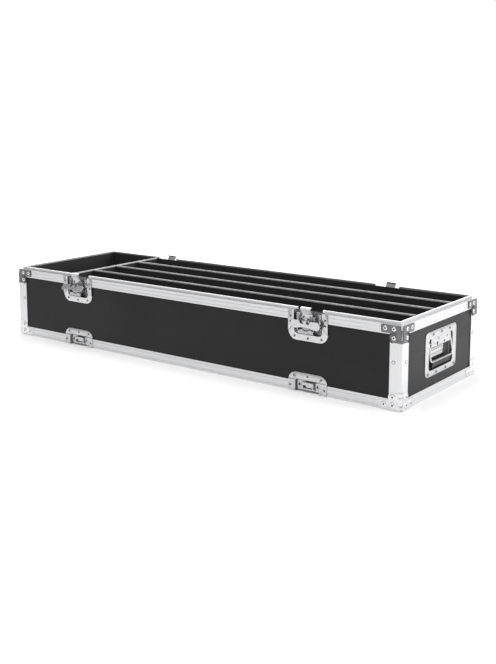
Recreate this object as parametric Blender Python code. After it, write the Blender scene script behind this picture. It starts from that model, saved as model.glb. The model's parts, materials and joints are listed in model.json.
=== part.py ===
"""Base section of a long flight case with its lid off.

Laminated plywood panels are held by aluminium angles and a tongued rim. Steel
braces and caps guard the corners. Two butterfly latches and two keeper dishes
sit in the front, and two more of each in the back. A sprung handle is let into
each end. Inside, a cross divider closes off one compartment and three long
dividers make four channels.

Units are metres, +Z is up, the front faces -Y and the origin is on the floor
under the middle of the case. Most hardware is drawn in the frame of the wall
that holds it: x runs along the wall, -y points out of it and y = 0 is the
outer face of the aluminium.
"""
import math

import bmesh
import bpy
from mathutils import Matrix, Vector

# Driving dimensions
LENGTH = 1.225
DEPTH = 0.383
HEIGHT = 0.190
GAP = 0.0003

# Walls and floor
SKIN = 0.0015
PANEL_FACE = SKIN + GAP
WALL = 0.0118
POCKET = 0.0111
FLOOR_TOP = 0.0108
PANEL_TOP = 0.1872

# Aluminium
CORNER_FLANGE = 0.030
BASE_FLANGE = 0.025
RIM_HEIGHT = 0.022
RIM_WEB = 0.0025
RIM_INNER = 0.0133
TONGUE_WIDTH = 0.0048
TONGUE_RISE = 0.006
INNER_LIP = 0.008
GROOVE = 0.0006
GROOVE_EDGE = 0.006
GROOVE_TOP = 0.007
RIM_BOTTOM = HEIGHT - RIM_HEIGHT

# Steel plates on the corners
PLATE = 0.0012
PLATE_FRONT = GAP + PLATE
BRACE_REACH = 0.051
BRACE_TOP = HEIGHT - 0.0015
BRACE_LEG = 0.018
LOBE_X = 0.020
BRACE_LOBE_Z = 0.1605
BRACE_RIVET_Z = 0.1805
BRACE_LOBE_R = 0.010
CAP_REACH = 0.0525
CAP_LEG = 0.0215
CAP_LOBE_Z = 0.0300
CAP_LOBE_R = 0.0105
CAP_FOOT = 0.0006
CAP_CHAMFER = 0.005
CAP_RIVET_Z = 0.0115
OUTER_RIVET = 0.041
NOTCH_HALF = 0.0035
NOTCH_LOW = 0.1790
SLIT_HALF = 0.0012
SLIT_LOW = 0.1600
SLIT_HIGH = 0.1755
CAP_SLOTS = (0.0120, 0.0310)
CAP_SLOT_HALF = 0.004
SLOPE = 0.0004
ANGLE_RIVET_Z = 0.107

# Rivets
RIVET_R = 0.0046
RIVET_SMALL_R = 0.0032
RIVET_RISE = 0.0013
RIVET_TAPER = 0.62
RIVET_SIDES = 8

# Latches and keepers, placed the same distance from each end
HARDWARE_X = LENGTH / 2 - 0.2395
LATCH_HALF = 0.0533
LATCH_BOTTOM = 0.1210
LATCH_TOP = HEIGHT - 0.0005
LATCH_RADIUS = 0.022
DISH_HALF = 0.0380
DISH_BOTTOM = 0.1360
DISH_RADIUS = 0.010
DISH_SHEET = 0.0012
DISH_BACK = POCKET - GAP
LATCH_CRANK = 0.1575
RIM_NOTCH = DISH_HALF + DISH_SHEET + GAP
TONGUE_NOTCH = 0.0340

AXIS_Z = 0.1610
BASE_HALF = 0.022
BASE_LOW = 0.139
BASE_HIGH = 0.178
BASE_FRONT = 0.0005
CRADLE_FRONT = 0.0105
CRADLE_SHEET = 0.0014
CRADLE_LIP = 0.1465
LATCH_SIDE_RIVETS = (0.0468, (0.1760, 0.1630))
LATCH_LOW_RIVETS = ((-0.0365, 0.1300), (0.0, 0.1278), (0.0365, 0.1300))
HOOK_HALF = 0.0136
HOOK_FRONT = 0.0030
HOOK_SHEET = 0.0020
HOOK_LOW = -0.0120
HOOK_BEND = 0.0225
HOOK_TOP = 0.0403
HOOK_LEAN = 0.0085
HOOK_LIP = 0.0040
HOOK_TRAVEL = 0.008
SLOT_ROUND = 0.7
POST_R = 0.0040
ROTOR_R = 0.0130
ROTOR_BACK = 0.0033
ROTOR_FRONT = 0.0100
WING_Y = 0.0137
WING_HINGE = 0.0095
WING_HALF = 0.040
WING_DROP = 0.019
WING_SHEET = 0.0016
WING_TOP = 0.0008
WING_NOTCH = 0.0038
WING_ROUND = 0.006
WAIST_HALF = 0.012
WAIST_ROUND = 0.010
LUG_IN = 0.0040
LUG_OUT = 0.0065
LUG_HALF = 0.0025
LUG_FRONT = WING_Y + 0.0020
PIN_R = 0.0010
PIN_BORE = 0.00135
WING_TILT = math.radians(45.0)

KEEPER_HALF = 0.0530
KEEPER_TOP = 0.0455
KEEPER_FOOT = 0.0003
KEEPER_DISH_HALF = 0.0330
KEEPER_DISH_TOP = 0.0290
KEEPER_DISH_RADIUS = 0.006
KEEPER_CRANK = 0.0280
STRIKE_HALF = 0.0300
STRIKE_LOW = 0.0045
STRIKE_HIGH = 0.0265
STRIKE_FACE = 0.0045
STRIKE_CUT = 0.0030
STRIKE_SLOT = ((-0.013, 0.0090), (0.013, 0.0150))
STRIKE_HOLES = ((-0.0255, 0.0165), (0.0255, 0.0165))
STRIKE_HOLE_R = 0.0022
KEEPER_LOW_RIVETS = ((-0.0465, 0.0135), (0.0465, 0.0135))
KEEPER_TOP_RIVETS = ((-0.0370, 0.0365), (0.0, 0.0380), (0.0370, 0.0365))

# Handles
HANDLE_HALF = 0.079
HANDLE_LOW = 0.0475
HANDLE_HIGH = 0.1515
HANDLE_RADIUS = 0.014
HANDLE_DISH_HALF = 0.061
HANDLE_DISH_LOW = 0.061
HANDLE_DISH_HIGH = 0.134
HANDLE_DISH_RADIUS = 0.008
HINGE_Z = 0.122
HINGE_Y = 0.0055
BAIL_R = 0.0025
BAIL_HALF = 0.056
BAIL_DROP = 0.042
BAIL_CORNER = 0.008
BAIL_TILT = math.radians(10.0)
GRIP_HALF = 0.0465
GRIP_TOP = -0.0395
GRIP_FOOT = -0.0565
GRIP_TOP_FRONT = -0.0090
GRIP_FOOT_FRONT = -0.0060
GRIP_DEEP = 0.0075
GRIP_BORE = 0.0029
KNUCKLE_IN = 0.036
KNUCKLE_OUT = 0.046
KNUCKLE_HALF = 0.0062
COVER_HALF = 0.049
COVER_LOW = 0.1125
HANDLE_TOP_RIVETS = ((-0.042, 0.1435), (0.0, 0.1435), (0.042, 0.1435))
HANDLE_LOW_RIVETS = ((-0.067, 0.0545), (-0.024, 0.0535), (0.024, 0.0535), (0.067, 0.0545))
COIL_R = 0.0034
COIL_WIRE = 0.0005
COIL_HALF = 0.014
COIL_TURNS = 5

# Dividers
DIVIDER = 0.006
TRIM_WIDTH = 0.0078
TRIM_TOP = 0.1945
TRIM_HEIGHT = 0.0042
CROSS_X = -LENGTH / 2 + 0.197
CHANNELS = 4

# Outlines are filled at this many times their size, because the fill loses fine corners
DRAWN_LARGE = 1000.0
FAR = 0.1
SIDES = {
    "front": (0.0, DEPTH / 2),
    "right": (math.pi / 2, LENGTH / 2),
    "rear": (math.pi, DEPTH / 2),
    "left": (-math.pi / 2, LENGTH / 2),
}
CORNERS = {
    "front_right": (0.0, 1, -1),
    "rear_right": (math.pi / 2, 1, 1),
    "rear_left": (math.pi, -1, 1),
    "front_left": (-math.pi / 2, -1, -1),
}


# ---------------------------------------------------------------- scene
def clear_scene():
    for item in list(bpy.data.objects):
        bpy.data.objects.remove(item, do_unlink=True)
    for group in list(bpy.data.collections):
        bpy.data.collections.remove(group)


def new_collection(name):
    group = bpy.data.collections.new(name)
    bpy.context.scene.collection.children.link(group)
    return group


def material(name, colour, roughness, metallic):
    made = bpy.data.materials.new(name)
    made.use_nodes = True
    shader = made.node_tree.nodes["Principled BSDF"]
    shader.inputs["Base Color"].default_value = (*colour, 1.0)
    shader.inputs["Roughness"].default_value = roughness
    shader.inputs["Metallic"].default_value = metallic
    return made


clear_scene()
PARTS = new_collection("flight_case_base")
CUTTERS = new_collection("cutters")
LAMINATE = material("black_laminate", (0.022, 0.022, 0.023), 0.45, 0.0)
ALUMINIUM = material("brushed_aluminium", (0.82, 0.82, 0.83), 0.32, 1.0)
ZINC = material("zinc_plated_steel", (0.70, 0.70, 0.71), 0.28, 1.0)
BRACE_STEEL = material("brace_steel", (0.42, 0.42, 0.43), 0.35, 1.0)
RUBBER = material("black_rubber", (0.012, 0.012, 0.012), 0.65, 0.0)
BOARD = material("divider_board", (0.018, 0.018, 0.019), 0.60, 0.0)
TRIM = material("divider_trim", (0.55, 0.55, 0.56), 0.40, 0.0)


# ---------------------------------------------------------------- shapes
def loose(name, mesh):
    made = bpy.data.objects.new(name, mesh)
    CUTTERS.objects.link(made)
    return made


def box(low, high):
    """A block between two corners."""
    low, high = Vector(low), Vector(high)
    mesh = bpy.data.meshes.new("block")
    work = bmesh.new()
    bmesh.ops.create_cube(work, size=1.0)
    size = Matrix.Diagonal((*(high - low), 1.0))
    bmesh.ops.transform(work, matrix=Matrix.Translation((low + high) / 2) @ size, verts=work.verts)
    work.to_mesh(mesh)
    work.free()
    return loose("block", mesh)


def cone(base, direction, depth, radius, tip_radius, sides):
    """A round bar or truncated cone that starts at base and runs along direction."""
    mesh = bpy.data.meshes.new("cone")
    work = bmesh.new()
    bmesh.ops.create_cone(work, cap_ends=True, segments=sides, radius1=radius, radius2=tip_radius,
                          depth=depth)
    turn = Vector(direction).to_track_quat("Z", "Y").to_matrix().to_4x4()
    middle = Vector(base) + Vector(direction).normalized() * depth / 2
    bmesh.ops.transform(work, matrix=Matrix.Translation(middle) @ turn, verts=work.verts)
    work.to_mesh(mesh)
    work.free()
    return loose("cone", mesh)


def rod(start, end, radius, sides=12):
    start, end = Vector(start), Vector(end)
    return cone(start, end - start, (end - start).length, radius, radius, sides)


def rounded(points, radii, steps=4):
    """The outline through points, with an arc of each radius in place of its corner."""
    outline = []
    count = len(points)
    for index, radius in enumerate(radii):
        corner = Vector(points[index])
        if radius == 0:
            outline.append(tuple(corner))
            continue
        to_last = (Vector(points[index - 1]) - corner).normalized()
        to_next = (Vector(points[(index + 1) % count]) - corner).normalized()
        half = to_last.angle(to_next) / 2
        centre = corner + (to_last + to_next).normalized() * radius / math.sin(half)
        first = corner + to_last * radius / math.tan(half) - centre
        last = corner + to_next * radius / math.tan(half) - centre
        turn = math.atan2(first.x * last.y - first.y * last.x, first.dot(last))
        for step in range(steps + 1):
            spot = Matrix.Rotation(turn * step / steps, 2) @ first
            outline.append(tuple(centre + spot))
    return outline


def oblong(left, right, low, high, low_radius, high_radius, steps=4):
    """A rectangle with its two lower and its two upper corners rounded."""
    corners = [(left, low), (right, low), (right, high), (left, high)]
    return rounded(corners, [low_radius, low_radius, high_radius, high_radius], steps)


AXES = {
    "X": Matrix(((0, 0, 1, 0), (1, 0, 0, 0), (0, 1, 0, 0), (0, 0, 0, 1))),
    "Y": Matrix(((1, 0, 0, 0), (0, 0, -1, 0), (0, 1, 0, 0), (0, 0, 0, 1))),
    "Z": Matrix.Identity(4),
}


def prism(outline, start, end, axis="Y"):
    """A flat outline given thickness along one axis, as a closed mesh."""
    curve = bpy.data.curves.new("outline", "CURVE")
    curve.dimensions = "2D"
    curve.fill_mode = "BOTH"
    curve.extrude = DRAWN_LARGE * abs(end - start) / 2
    spline = curve.splines.new("POLY")
    spline.points.add(len(outline) - 1)
    for point, (across, up) in zip(spline.points, outline):
        point.co = (across * DRAWN_LARGE, up * DRAWN_LARGE, 0.0, 1.0)
    spline.use_cyclic_u = True
    shift = {"X": (1, 0, 0), "Y": (0, 1, 0), "Z": (0, 0, 1)}[axis]
    place = Matrix.Translation(Vector(shift) * (start + end) / 2) @ AXES[axis]
    return curve_to_mesh(curve, place @ Matrix.Scale(1 / DRAWN_LARGE, 4))


def curve_to_mesh(curve, place):
    source = loose("curve", curve)
    source.matrix_world = place
    graph = bpy.context.evaluated_depsgraph_get()
    mesh = bpy.data.meshes.new_from_object(source.evaluated_get(graph))
    work = bmesh.new()
    work.from_mesh(mesh)
    bmesh.ops.transform(work, matrix=place, verts=work.verts)
    bmesh.ops.remove_doubles(work, verts=work.verts, dist=1e-6)
    bmesh.ops.recalc_face_normals(work, faces=work.faces)
    work.to_mesh(mesh)
    work.free()
    bpy.data.objects.remove(source, do_unlink=True)
    return loose("solid", mesh)


def tube(points, radius, closed):
    curve = bpy.data.curves.new("wire", "CURVE")
    curve.dimensions = "3D"
    curve.bevel_depth = radius
    curve.bevel_resolution = 2
    curve.use_fill_caps = True
    spline = curve.splines.new("POLY")
    spline.points.add(len(points) - 1)
    for point, spot in zip(spline.points, points):
        point.co = (*spot, 1.0)
    spline.use_cyclic_u = closed
    return curve_to_mesh(curve, Matrix.Identity(4))


def combine(body, others, operation):
    """Join or cut a mesh with others, which are used up."""
    for other in others:
        step = body.modifiers.new(operation.lower(), "BOOLEAN")
        step.operation = operation
        step.object = other
        step.solver = "EXACT"
    graph = bpy.context.evaluated_depsgraph_get()
    mesh = bpy.data.meshes.new_from_object(body.evaluated_get(graph))
    body.modifiers.clear()
    body.data = mesh
    for other in others:
        bpy.data.objects.remove(other, do_unlink=True)
    return body


def join(body, *others):
    return combine(body, others, "UNION")


def cut(body, *others):
    return combine(body, others, "DIFFERENCE")


def rivets(spots, front, radius=RIVET_R):
    """Low domed heads on a plate whose outer face is at -front."""
    sunk = PLATE / 2
    made = []
    for across, height in spots:
        base = (across, sunk - front, height)
        head = cone(base, (0, -1, 0), sunk + RIVET_RISE, radius, radius * RIVET_TAPER, RIVET_SIDES)
        made.append(head)
    return made


def part(name, source, finish, place):
    """A finished sub-part: its own object, at its place, with its material."""
    mesh = source.data
    mesh.name = name
    made = bpy.data.objects.new(name, mesh)
    PARTS.objects.link(made)
    made.matrix_world = place
    if not mesh.materials:
        mesh.materials.append(finish)
    mesh.shade_smooth()
    mesh.set_sharp_from_angle(angle=math.radians(35))
    return made


def release(source):
    bpy.data.objects.remove(source, do_unlink=True)


def on_wall(side, along, height=0.0):
    angle, half = SIDES[side]
    return Matrix.Rotation(angle, 4, "Z") @ Matrix.Translation((along, -half, height))


def at_corner(name):
    angle, x_sign, y_sign = CORNERS[name]
    spot = (x_sign * LENGTH / 2, y_sign * DEPTH / 2, 0.0)
    return Matrix.Translation(spot) @ Matrix.Rotation(angle, 4, "Z")


def keep_cutter(source, name, place):
    """A cutter that stays in the file, used by a live Boolean."""
    source.name = name
    source.matrix_world = place
    source.hide_render = True
    source.display_type = "WIRE"
    return source


def live_cut(body, cutter):
    step = body.modifiers.new(cutter.name, "BOOLEAN")
    step.operation = "DIFFERENCE"
    step.solver = "EXACT"
    step.object = cutter


# ---------------------------------------------------------------- panels
def latch_pocket():
    outline = oblong(-RIM_NOTCH, RIM_NOTCH, DISH_BOTTOM - DISH_SHEET - GAP, HEIGHT + FAR,
                     DISH_RADIUS + DISH_SHEET + GAP, 0)
    return prism(outline, -FAR, POCKET)


def keeper_pocket():
    half = KEEPER_DISH_HALF + DISH_SHEET + GAP
    outline = oblong(-half, half, -FAR, KEEPER_DISH_TOP + DISH_SHEET + GAP,
                     0, KEEPER_DISH_RADIUS + DISH_SHEET + GAP)
    return prism(outline, -FAR, POCKET)


def handle_pocket():
    grow = DISH_SHEET + GAP
    outline = oblong(-HANDLE_DISH_HALF - grow, HANDLE_DISH_HALF + grow, HANDLE_DISH_LOW - grow,
                     HANDLE_DISH_HIGH + grow, HANDLE_DISH_RADIUS + grow, HANDLE_DISH_RADIUS + grow)
    return prism(outline, -FAR, POCKET)


def build_panels():
    half_long = LENGTH / 2 - PANEL_FACE
    half_short = DEPTH / 2 - WALL - GAP
    for side in SIDES:
        half = half_long if side in ("front", "rear") else half_short
        source = box((-half, PANEL_FACE, PANEL_FACE), (half, WALL, PANEL_TOP))
        panel = part(side + "_panel", source, LAMINATE, on_wall(side, 0.0))
        release(source)
        if side in ("front", "rear"):
            for word, along in (("a", -HARDWARE_X), ("b", HARDWARE_X)):
                place = on_wall(side, along)
                live_cut(panel, keep_cutter(latch_pocket(), side + "_latch_pocket_" + word, place))
                live_cut(panel, keep_cutter(keeper_pocket(), side + "_keeper_pocket_" + word, place))
        else:
            live_cut(panel, keep_cutter(handle_pocket(), side + "_handle_pocket", on_wall(side, 0.0)))
    inset = WALL + GAP
    low = (inset - LENGTH / 2, inset - DEPTH / 2, PANEL_FACE)
    source = box(low, (LENGTH / 2 - inset, DEPTH / 2 - inset, FLOOR_TOP))
    part("floor_panel", source, LAMINATE, Matrix.Identity(4))
    release(source)


# ---------------------------------------------------------------- aluminium
def mitre(source, half):
    """Slope both ends at 45 degrees, so that two lengths meet in a corner."""
    for vertex in source.data.vertices:
        vertex.co.x = math.copysign(half - vertex.co.y - GAP / 2, vertex.co.x)
    return source


def groove(height):
    """A V groove in the outer face, drawn upwards."""
    return [(0.0, height - GROOVE), (GROOVE, height), (0.0, height + GROOVE)]


def rim_outline():
    tongue = RIM_INNER - TONGUE_WIDTH
    inner = WALL + GAP
    web = HEIGHT - RIM_WEB
    return [(0.0, RIM_BOTTOM), *groove(RIM_BOTTOM + GROOVE_EDGE), *groove(HEIGHT - GROOVE_TOP), (0.0, HEIGHT),
            (tongue, HEIGHT), (tongue, HEIGHT + TONGUE_RISE), (RIM_INNER, HEIGHT + TONGUE_RISE),
            (RIM_INNER, HEIGHT - INNER_LIP), (inner, HEIGHT - INNER_LIP), (inner, web), (SKIN, web),
            (SKIN, RIM_BOTTOM)]


def base_outline():
    return [(0.0, 0.0), *groove(GROOVE_EDGE), *groove(BASE_FLANGE - GROOVE_EDGE), (0.0, BASE_FLANGE),
            (SKIN, BASE_FLANGE), (SKIN, SKIN), (BASE_FLANGE, SKIN), (BASE_FLANGE, 0.0)]


def build_lengths():
    """The rim and the bottom angles, one of each along every wall."""
    top_notch = HEIGHT + GAP
    for side in SIDES:
        long_side = side in ("front", "rear")
        half = LENGTH / 2 if long_side else DEPTH / 2
        rim = mitre(prism(rim_outline(), -half, half, "X"), half)
        base = mitre(prism(base_outline(), -half, half, "X"), half)
        if long_side:
            for along in (-HARDWARE_X, HARDWARE_X):
                left, right = along - RIM_NOTCH, along + RIM_NOTCH
                lower = box((left, -FAR, RIM_BOTTOM - FAR), (right, POCKET, top_notch))
                tongue = (along - TONGUE_NOTCH, along + TONGUE_NOTCH)
                upper = box((tongue[0], -FAR, HEIGHT - GROOVE), (tongue[1], FAR, HEIGHT + FAR))
                cut(rim, lower, upper)
                reach = KEEPER_DISH_HALF + DISH_SHEET + GAP
                cut(base, box((along - reach, -FAR, -FAR), (along + reach, POCKET, FAR)))
        part(side + "_rim", rim, ALUMINIUM, on_wall(side, 0.0))
        part(side + "_base_angle", base, ALUMINIUM, on_wall(side, 0.0))
        release(rim)
        release(base)


def corner_angle():
    reach = CORNER_FLANGE
    outline = [(-reach, 0.0), (0.0, 0.0), (0.0, reach), (-SKIN, reach), (-SKIN, SKIN), (-reach, SKIN)]
    body = prism(outline, BASE_FLANGE + GAP, RIM_BOTTOM - GAP, "Z")
    front = rivets([(-LOBE_X, ANGLE_RIVET_Z)], 0.0)[0]
    end = rivets([(-LOBE_X, ANGLE_RIVET_Z)], 0.0)[0]
    end.data.transform(Matrix(((0, -1, 0, 0), (-1, 0, 0, 0), (0, 0, 1, 0), (0, 0, 0, 1))))
    end.data.flip_normals()
    return join(body, front, end)


def fold(source):
    """Bend a flat plate round the corner edge, with its middle on the edge."""
    work = bmesh.new()
    work.from_mesh(source.data)
    geometry = work.verts[:] + work.edges[:] + work.faces[:]
    bmesh.ops.bisect_plane(work, geom=geometry, dist=1e-6, plane_co=(0, 0, 0), plane_no=(1, 0, 0))
    for vertex in work.verts:
        along, out = vertex.co.x, -vertex.co.y
        if abs(along) < 1e-6:
            vertex.co.x, vertex.co.y = out, -out
        elif along > 0:
            vertex.co.x, vertex.co.y = out, along
    bmesh.ops.remove_doubles(work, verts=work.verts, dist=1e-6)
    work.to_mesh(source.data)
    work.free()
    return source


def mirrored(half):
    """An outline from its right half, which starts and ends on the middle line."""
    return half + [(-across, up) for across, up in reversed(half) if across > 0]


def lobe(centre_z, radius, start, end, steps=4):
    """An arc about the rivet of a corner plate, its angles in degrees."""
    spots = []
    for step in range(steps + 1):
        angle = math.radians(start + (end - start) * step / steps)
        spots.append((LOBE_X + radius * math.cos(angle), centre_z + radius * math.sin(angle)))
    return spots


def corner_rivets(row, lobe_row):
    """Three on each face: two in a row and one in the lobe."""
    spots = ((LOBE_X, row), (OUTER_RIVET, row), (LOBE_X, lobe_row))
    return [(sign * across, height) for sign in (-1, 1) for across, height in spots]


def upper_brace():
    low = BRACE_TOP - BRACE_LEG
    half = [(0.0, BRACE_LOBE_Z - BRACE_LOBE_R), *lobe(BRACE_LOBE_Z, BRACE_LOBE_R, -90, 0),
            (LOBE_X + BRACE_LOBE_R, low - SLOPE), (BRACE_REACH, low), (BRACE_REACH, BRACE_TOP),
            (0.0, BRACE_TOP)]
    body = prism(mirrored(half), -PLATE_FRONT, -GAP)
    join(body, *rivets(corner_rivets(BRACE_RIVET_Z, BRACE_LOBE_Z), PLATE_FRONT))
    notch = box((-NOTCH_HALF, -FAR, NOTCH_LOW), (NOTCH_HALF, FAR, HEIGHT + FAR))
    slit = box((-SLIT_HALF, -FAR, SLIT_LOW), (SLIT_HALF, FAR, SLIT_HIGH))
    return fold(cut(body, notch, slit))


def bottom_cap():
    half = [(0.0, CAP_FOOT + CAP_CHAMFER), (CAP_CHAMFER, CAP_FOOT), (CAP_REACH - CAP_CHAMFER, CAP_FOOT),
            (CAP_REACH, CAP_FOOT + CAP_CHAMFER), (CAP_REACH, CAP_LEG),
            (LOBE_X + CAP_LOBE_R, CAP_LEG + SLOPE),
            *lobe(CAP_LOBE_Z, CAP_LOBE_R, 0, 90), (0.0, CAP_LOBE_Z + CAP_LOBE_R)]
    body = prism(mirrored(half), -PLATE_FRONT, -GAP)
    join(body, *rivets(corner_rivets(CAP_RIVET_Z, CAP_LOBE_Z), PLATE_FRONT))
    slots = [box((-CAP_SLOT_HALF, -FAR, height - SLIT_HALF), (CAP_SLOT_HALF, FAR, height + SLIT_HALF))
             for height in CAP_SLOTS]
    return fold(cut(body, *slots))


def build_corners():
    pieces = ((corner_angle(), "_corner_angle", ALUMINIUM), (upper_brace(), "_corner_brace", BRACE_STEEL),
              (bottom_cap(), "_corner_cap", ZINC))
    for source, word, finish in pieces:
        for name in CORNERS:
            part(name + word, source, finish, at_corner(name))
        release(source)


# ---------------------------------------------------------------- latches
def cradle():
    """The block in the dish that carries the rotor, with a wall each side and a lip below."""
    floor = DISH_BACK - DISH_SHEET / 2
    inner = BASE_HALF - CRADLE_SHEET
    low = BASE_LOW + CRADLE_SHEET
    front = CRADLE_FRONT - CRADLE_SHEET
    return (box((-BASE_HALF, -BASE_FRONT, BASE_LOW), (BASE_HALF, floor, BASE_HIGH)),
            box((-BASE_HALF, -CRADLE_FRONT, BASE_LOW), (-inner, 0.0, BASE_HIGH)),
            box((inner, -CRADLE_FRONT, BASE_LOW), (BASE_HALF, 0.0, BASE_HIGH)),
            box((-BASE_HALF, -CRADLE_FRONT, BASE_LOW), (BASE_HALF, 0.0, low)),
            box((-BASE_HALF, -CRADLE_FRONT, BASE_LOW), (BASE_HALF, -front, CRADLE_LIP)))


def latch_dish():
    flange = oblong(-LATCH_HALF, LATCH_HALF, LATCH_BOTTOM, LATCH_TOP, LATCH_RADIUS, 0)
    body = prism(flange, -PLATE_FRONT, SKIN)
    outer = DISH_HALF + DISH_SHEET
    pan = oblong(-outer, outer, DISH_BOTTOM - DISH_SHEET, LATCH_TOP, DISH_RADIUS + DISH_SHEET, 0)
    hollow = oblong(-DISH_HALF, DISH_HALF, DISH_BOTTOM, HEIGHT + FAR, DISH_RADIUS, 0)
    join(body, prism(pan, -BASE_FRONT, DISH_BACK))
    cut(body, prism(hollow, -FAR, DISH_BACK - DISH_SHEET))
    beside = outer + GAP / 3
    over_rim = [box((-FAR, -GAP, RIM_BOTTOM - GAP), (-beside, FAR, HEIGHT + FAR)),
                box((beside, -GAP, RIM_BOTTOM - GAP), (FAR, FAR, HEIGHT + FAR))]
    below = box((-FAR, -FAR, 0.0), (FAR, GAP, LATCH_CRANK))
    cut(body, *over_rim, below)
    across, heights = LATCH_SIDE_RIVETS
    upper = rivets([(x, z) for x in (-across, across) for z in heights], PLATE_FRONT, RIVET_SMALL_R)
    lower = rivets(LATCH_LOW_RIVETS, -GAP, RIVET_SMALL_R)
    return join(body, *cradle(), *upper, *lower)


def hook():
    back = -HOOK_FRONT + HOOK_SHEET
    top_y = -HOOK_FRONT - HOOK_LEAN
    lip_low = HOOK_TOP - HOOK_SHEET
    outline = [(back, HOOK_LOW), (-HOOK_FRONT, HOOK_LOW), (-HOOK_FRONT, HOOK_BEND), (top_y, lip_low - SLOPE),
               (top_y, HOOK_TOP), (-HOOK_LIP, HOOK_TOP), (-HOOK_LIP, lip_low), (top_y + HOOK_SHEET, lip_low),
               (back, HOOK_BEND)]
    body = prism(outline, -HOOK_HALF, HOOK_HALF, "X")
    reach = POST_R + GAP
    slot = oblong(-reach, reach, -reach, HOOK_TRAVEL + reach, reach * SLOT_ROUND, reach * SLOT_ROUND)
    return cut(body, prism(slot, -FAR, FAR))


def rotor():
    body = rod((0, -BASE_FRONT - GAP, 0), (0, -ROTOR_BACK - GAP, 0), POST_R)
    join(body, rod((0, -ROTOR_BACK, 0), (0, -ROTOR_FRONT, 0), ROTOR_R, 20))
    low, high = WING_HINGE - LUG_HALF, WING_HINGE + LUG_HALF
    lugs = [box((left, -LUG_FRONT, low), (left + LUG_OUT - LUG_IN, -ROTOR_FRONT + GAP, high))
            for left in (-LUG_OUT, LUG_IN)]
    join(body, *lugs)
    reach = LUG_OUT + GAP
    return cut(body, rod((-reach, -WING_Y, WING_HINGE), (reach, -WING_Y, WING_HINGE), PIN_BORE, 8))


def wing():
    """Two ears either side of a waist, hung from a pin that lies on the origin."""
    tab, clear, tip = LUG_IN - GAP, LUG_OUT + 2 * GAP, WING_HALF - WING_ROUND
    points = [(0.0, WING_TOP), (tab, WING_TOP), (tab, -WING_NOTCH), (clear, -WING_NOTCH), (clear, 0.0),
              (tip, WING_TOP), (WING_HALF, -WING_DROP / 2), (tip, -WING_DROP),
              (WAIST_HALF, -WING_DROP * 0.80), (0.0, -WING_DROP * 0.74)]
    right = rounded(points, [0] * 5 + [WING_ROUND] * 3 + [WAIST_ROUND, 0])
    body = prism(mirrored(right), -WING_SHEET / 2, WING_SHEET / 2)
    return join(body, rod((-LUG_OUT - GAP, 0, 0), (LUG_OUT + GAP, 0, 0), PIN_R, 8))


def keeper():
    flange = oblong(-KEEPER_HALF, KEEPER_HALF, KEEPER_FOOT, KEEPER_TOP, 0, LATCH_RADIUS)
    body = prism(flange, -PLATE_FRONT, SKIN)
    outer = KEEPER_DISH_HALF + DISH_SHEET
    radius = KEEPER_DISH_RADIUS
    pan = oblong(-outer, outer, PANEL_FACE, KEEPER_DISH_TOP + DISH_SHEET, 0, radius + DISH_SHEET)
    hollow = oblong(-KEEPER_DISH_HALF, KEEPER_DISH_HALF, -FAR, KEEPER_DISH_TOP, 0, radius)
    join(body, prism(pan, -BASE_FRONT, DISH_BACK))
    cut(body, prism(hollow, -FAR, DISH_BACK - DISH_SHEET))
    beside = outer + GAP / 3
    top = BASE_FLANGE + GAP
    over_angle = [box((-FAR, -GAP, -FAR), (-beside, FAR, top)), box((beside, -GAP, -FAR), (FAR, FAR, top))]
    above = box((-FAR, -FAR, KEEPER_CRANK), (FAR, GAP, FAR))
    cut(body, *over_angle, above)
    floor = DISH_BACK - DISH_SHEET / 2
    strike = box((-STRIKE_HALF, STRIKE_FACE, STRIKE_LOW), (STRIKE_HALF, floor, STRIKE_HIGH))
    depth = STRIKE_FACE + STRIKE_CUT
    holes = [rod((x, 0, z), (x, depth, z), STRIKE_HOLE_R, 8) for x, z in STRIKE_HOLES]
    (left, bottom), (right, top) = STRIKE_SLOT
    cut(strike, box((left, 0, bottom), (right, depth, top)), *holes)
    lower = rivets(KEEPER_LOW_RIVETS, PLATE_FRONT, RIVET_SMALL_R)
    upper = rivets(KEEPER_TOP_RIVETS, -GAP, RIVET_SMALL_R)
    return join(body, strike, *lower, *upper)


def build_latches():
    """Two latches and two keepers in the front, and the same turned round in the rear."""
    shapes = {"dish": latch_dish(), "hook": hook(), "rotor": rotor(), "wing": wing(),
              "keeper": keeper()}
    for side in ("front", "rear"):
        turn = 1 if side == "front" else -1
        for word in ("left", "right"):
            along = turn * (-HARDWARE_X if word == "left" else HARDWARE_X)
            name = side + "_" + word
            axis = on_wall(side, along, AXIS_Z)
            tilt = WING_TILT if along < 0 else 0.0
            hinge = Matrix.Translation((0, -WING_Y, WING_HINGE)) @ Matrix.Rotation(-tilt, 4, "X")
            part(name + "_latch_dish", shapes["dish"], ZINC, on_wall(side, along))
            part(name + "_latch_hook", shapes["hook"], ZINC, axis)
            part(name + "_latch_rotor", shapes["rotor"], ZINC, axis)
            part(name + "_latch_wing", shapes["wing"], ZINC, axis @ hinge)
            part(name + "_keeper", shapes["keeper"], ZINC, on_wall(side, along))
    for source in shapes.values():
        release(source)


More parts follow.
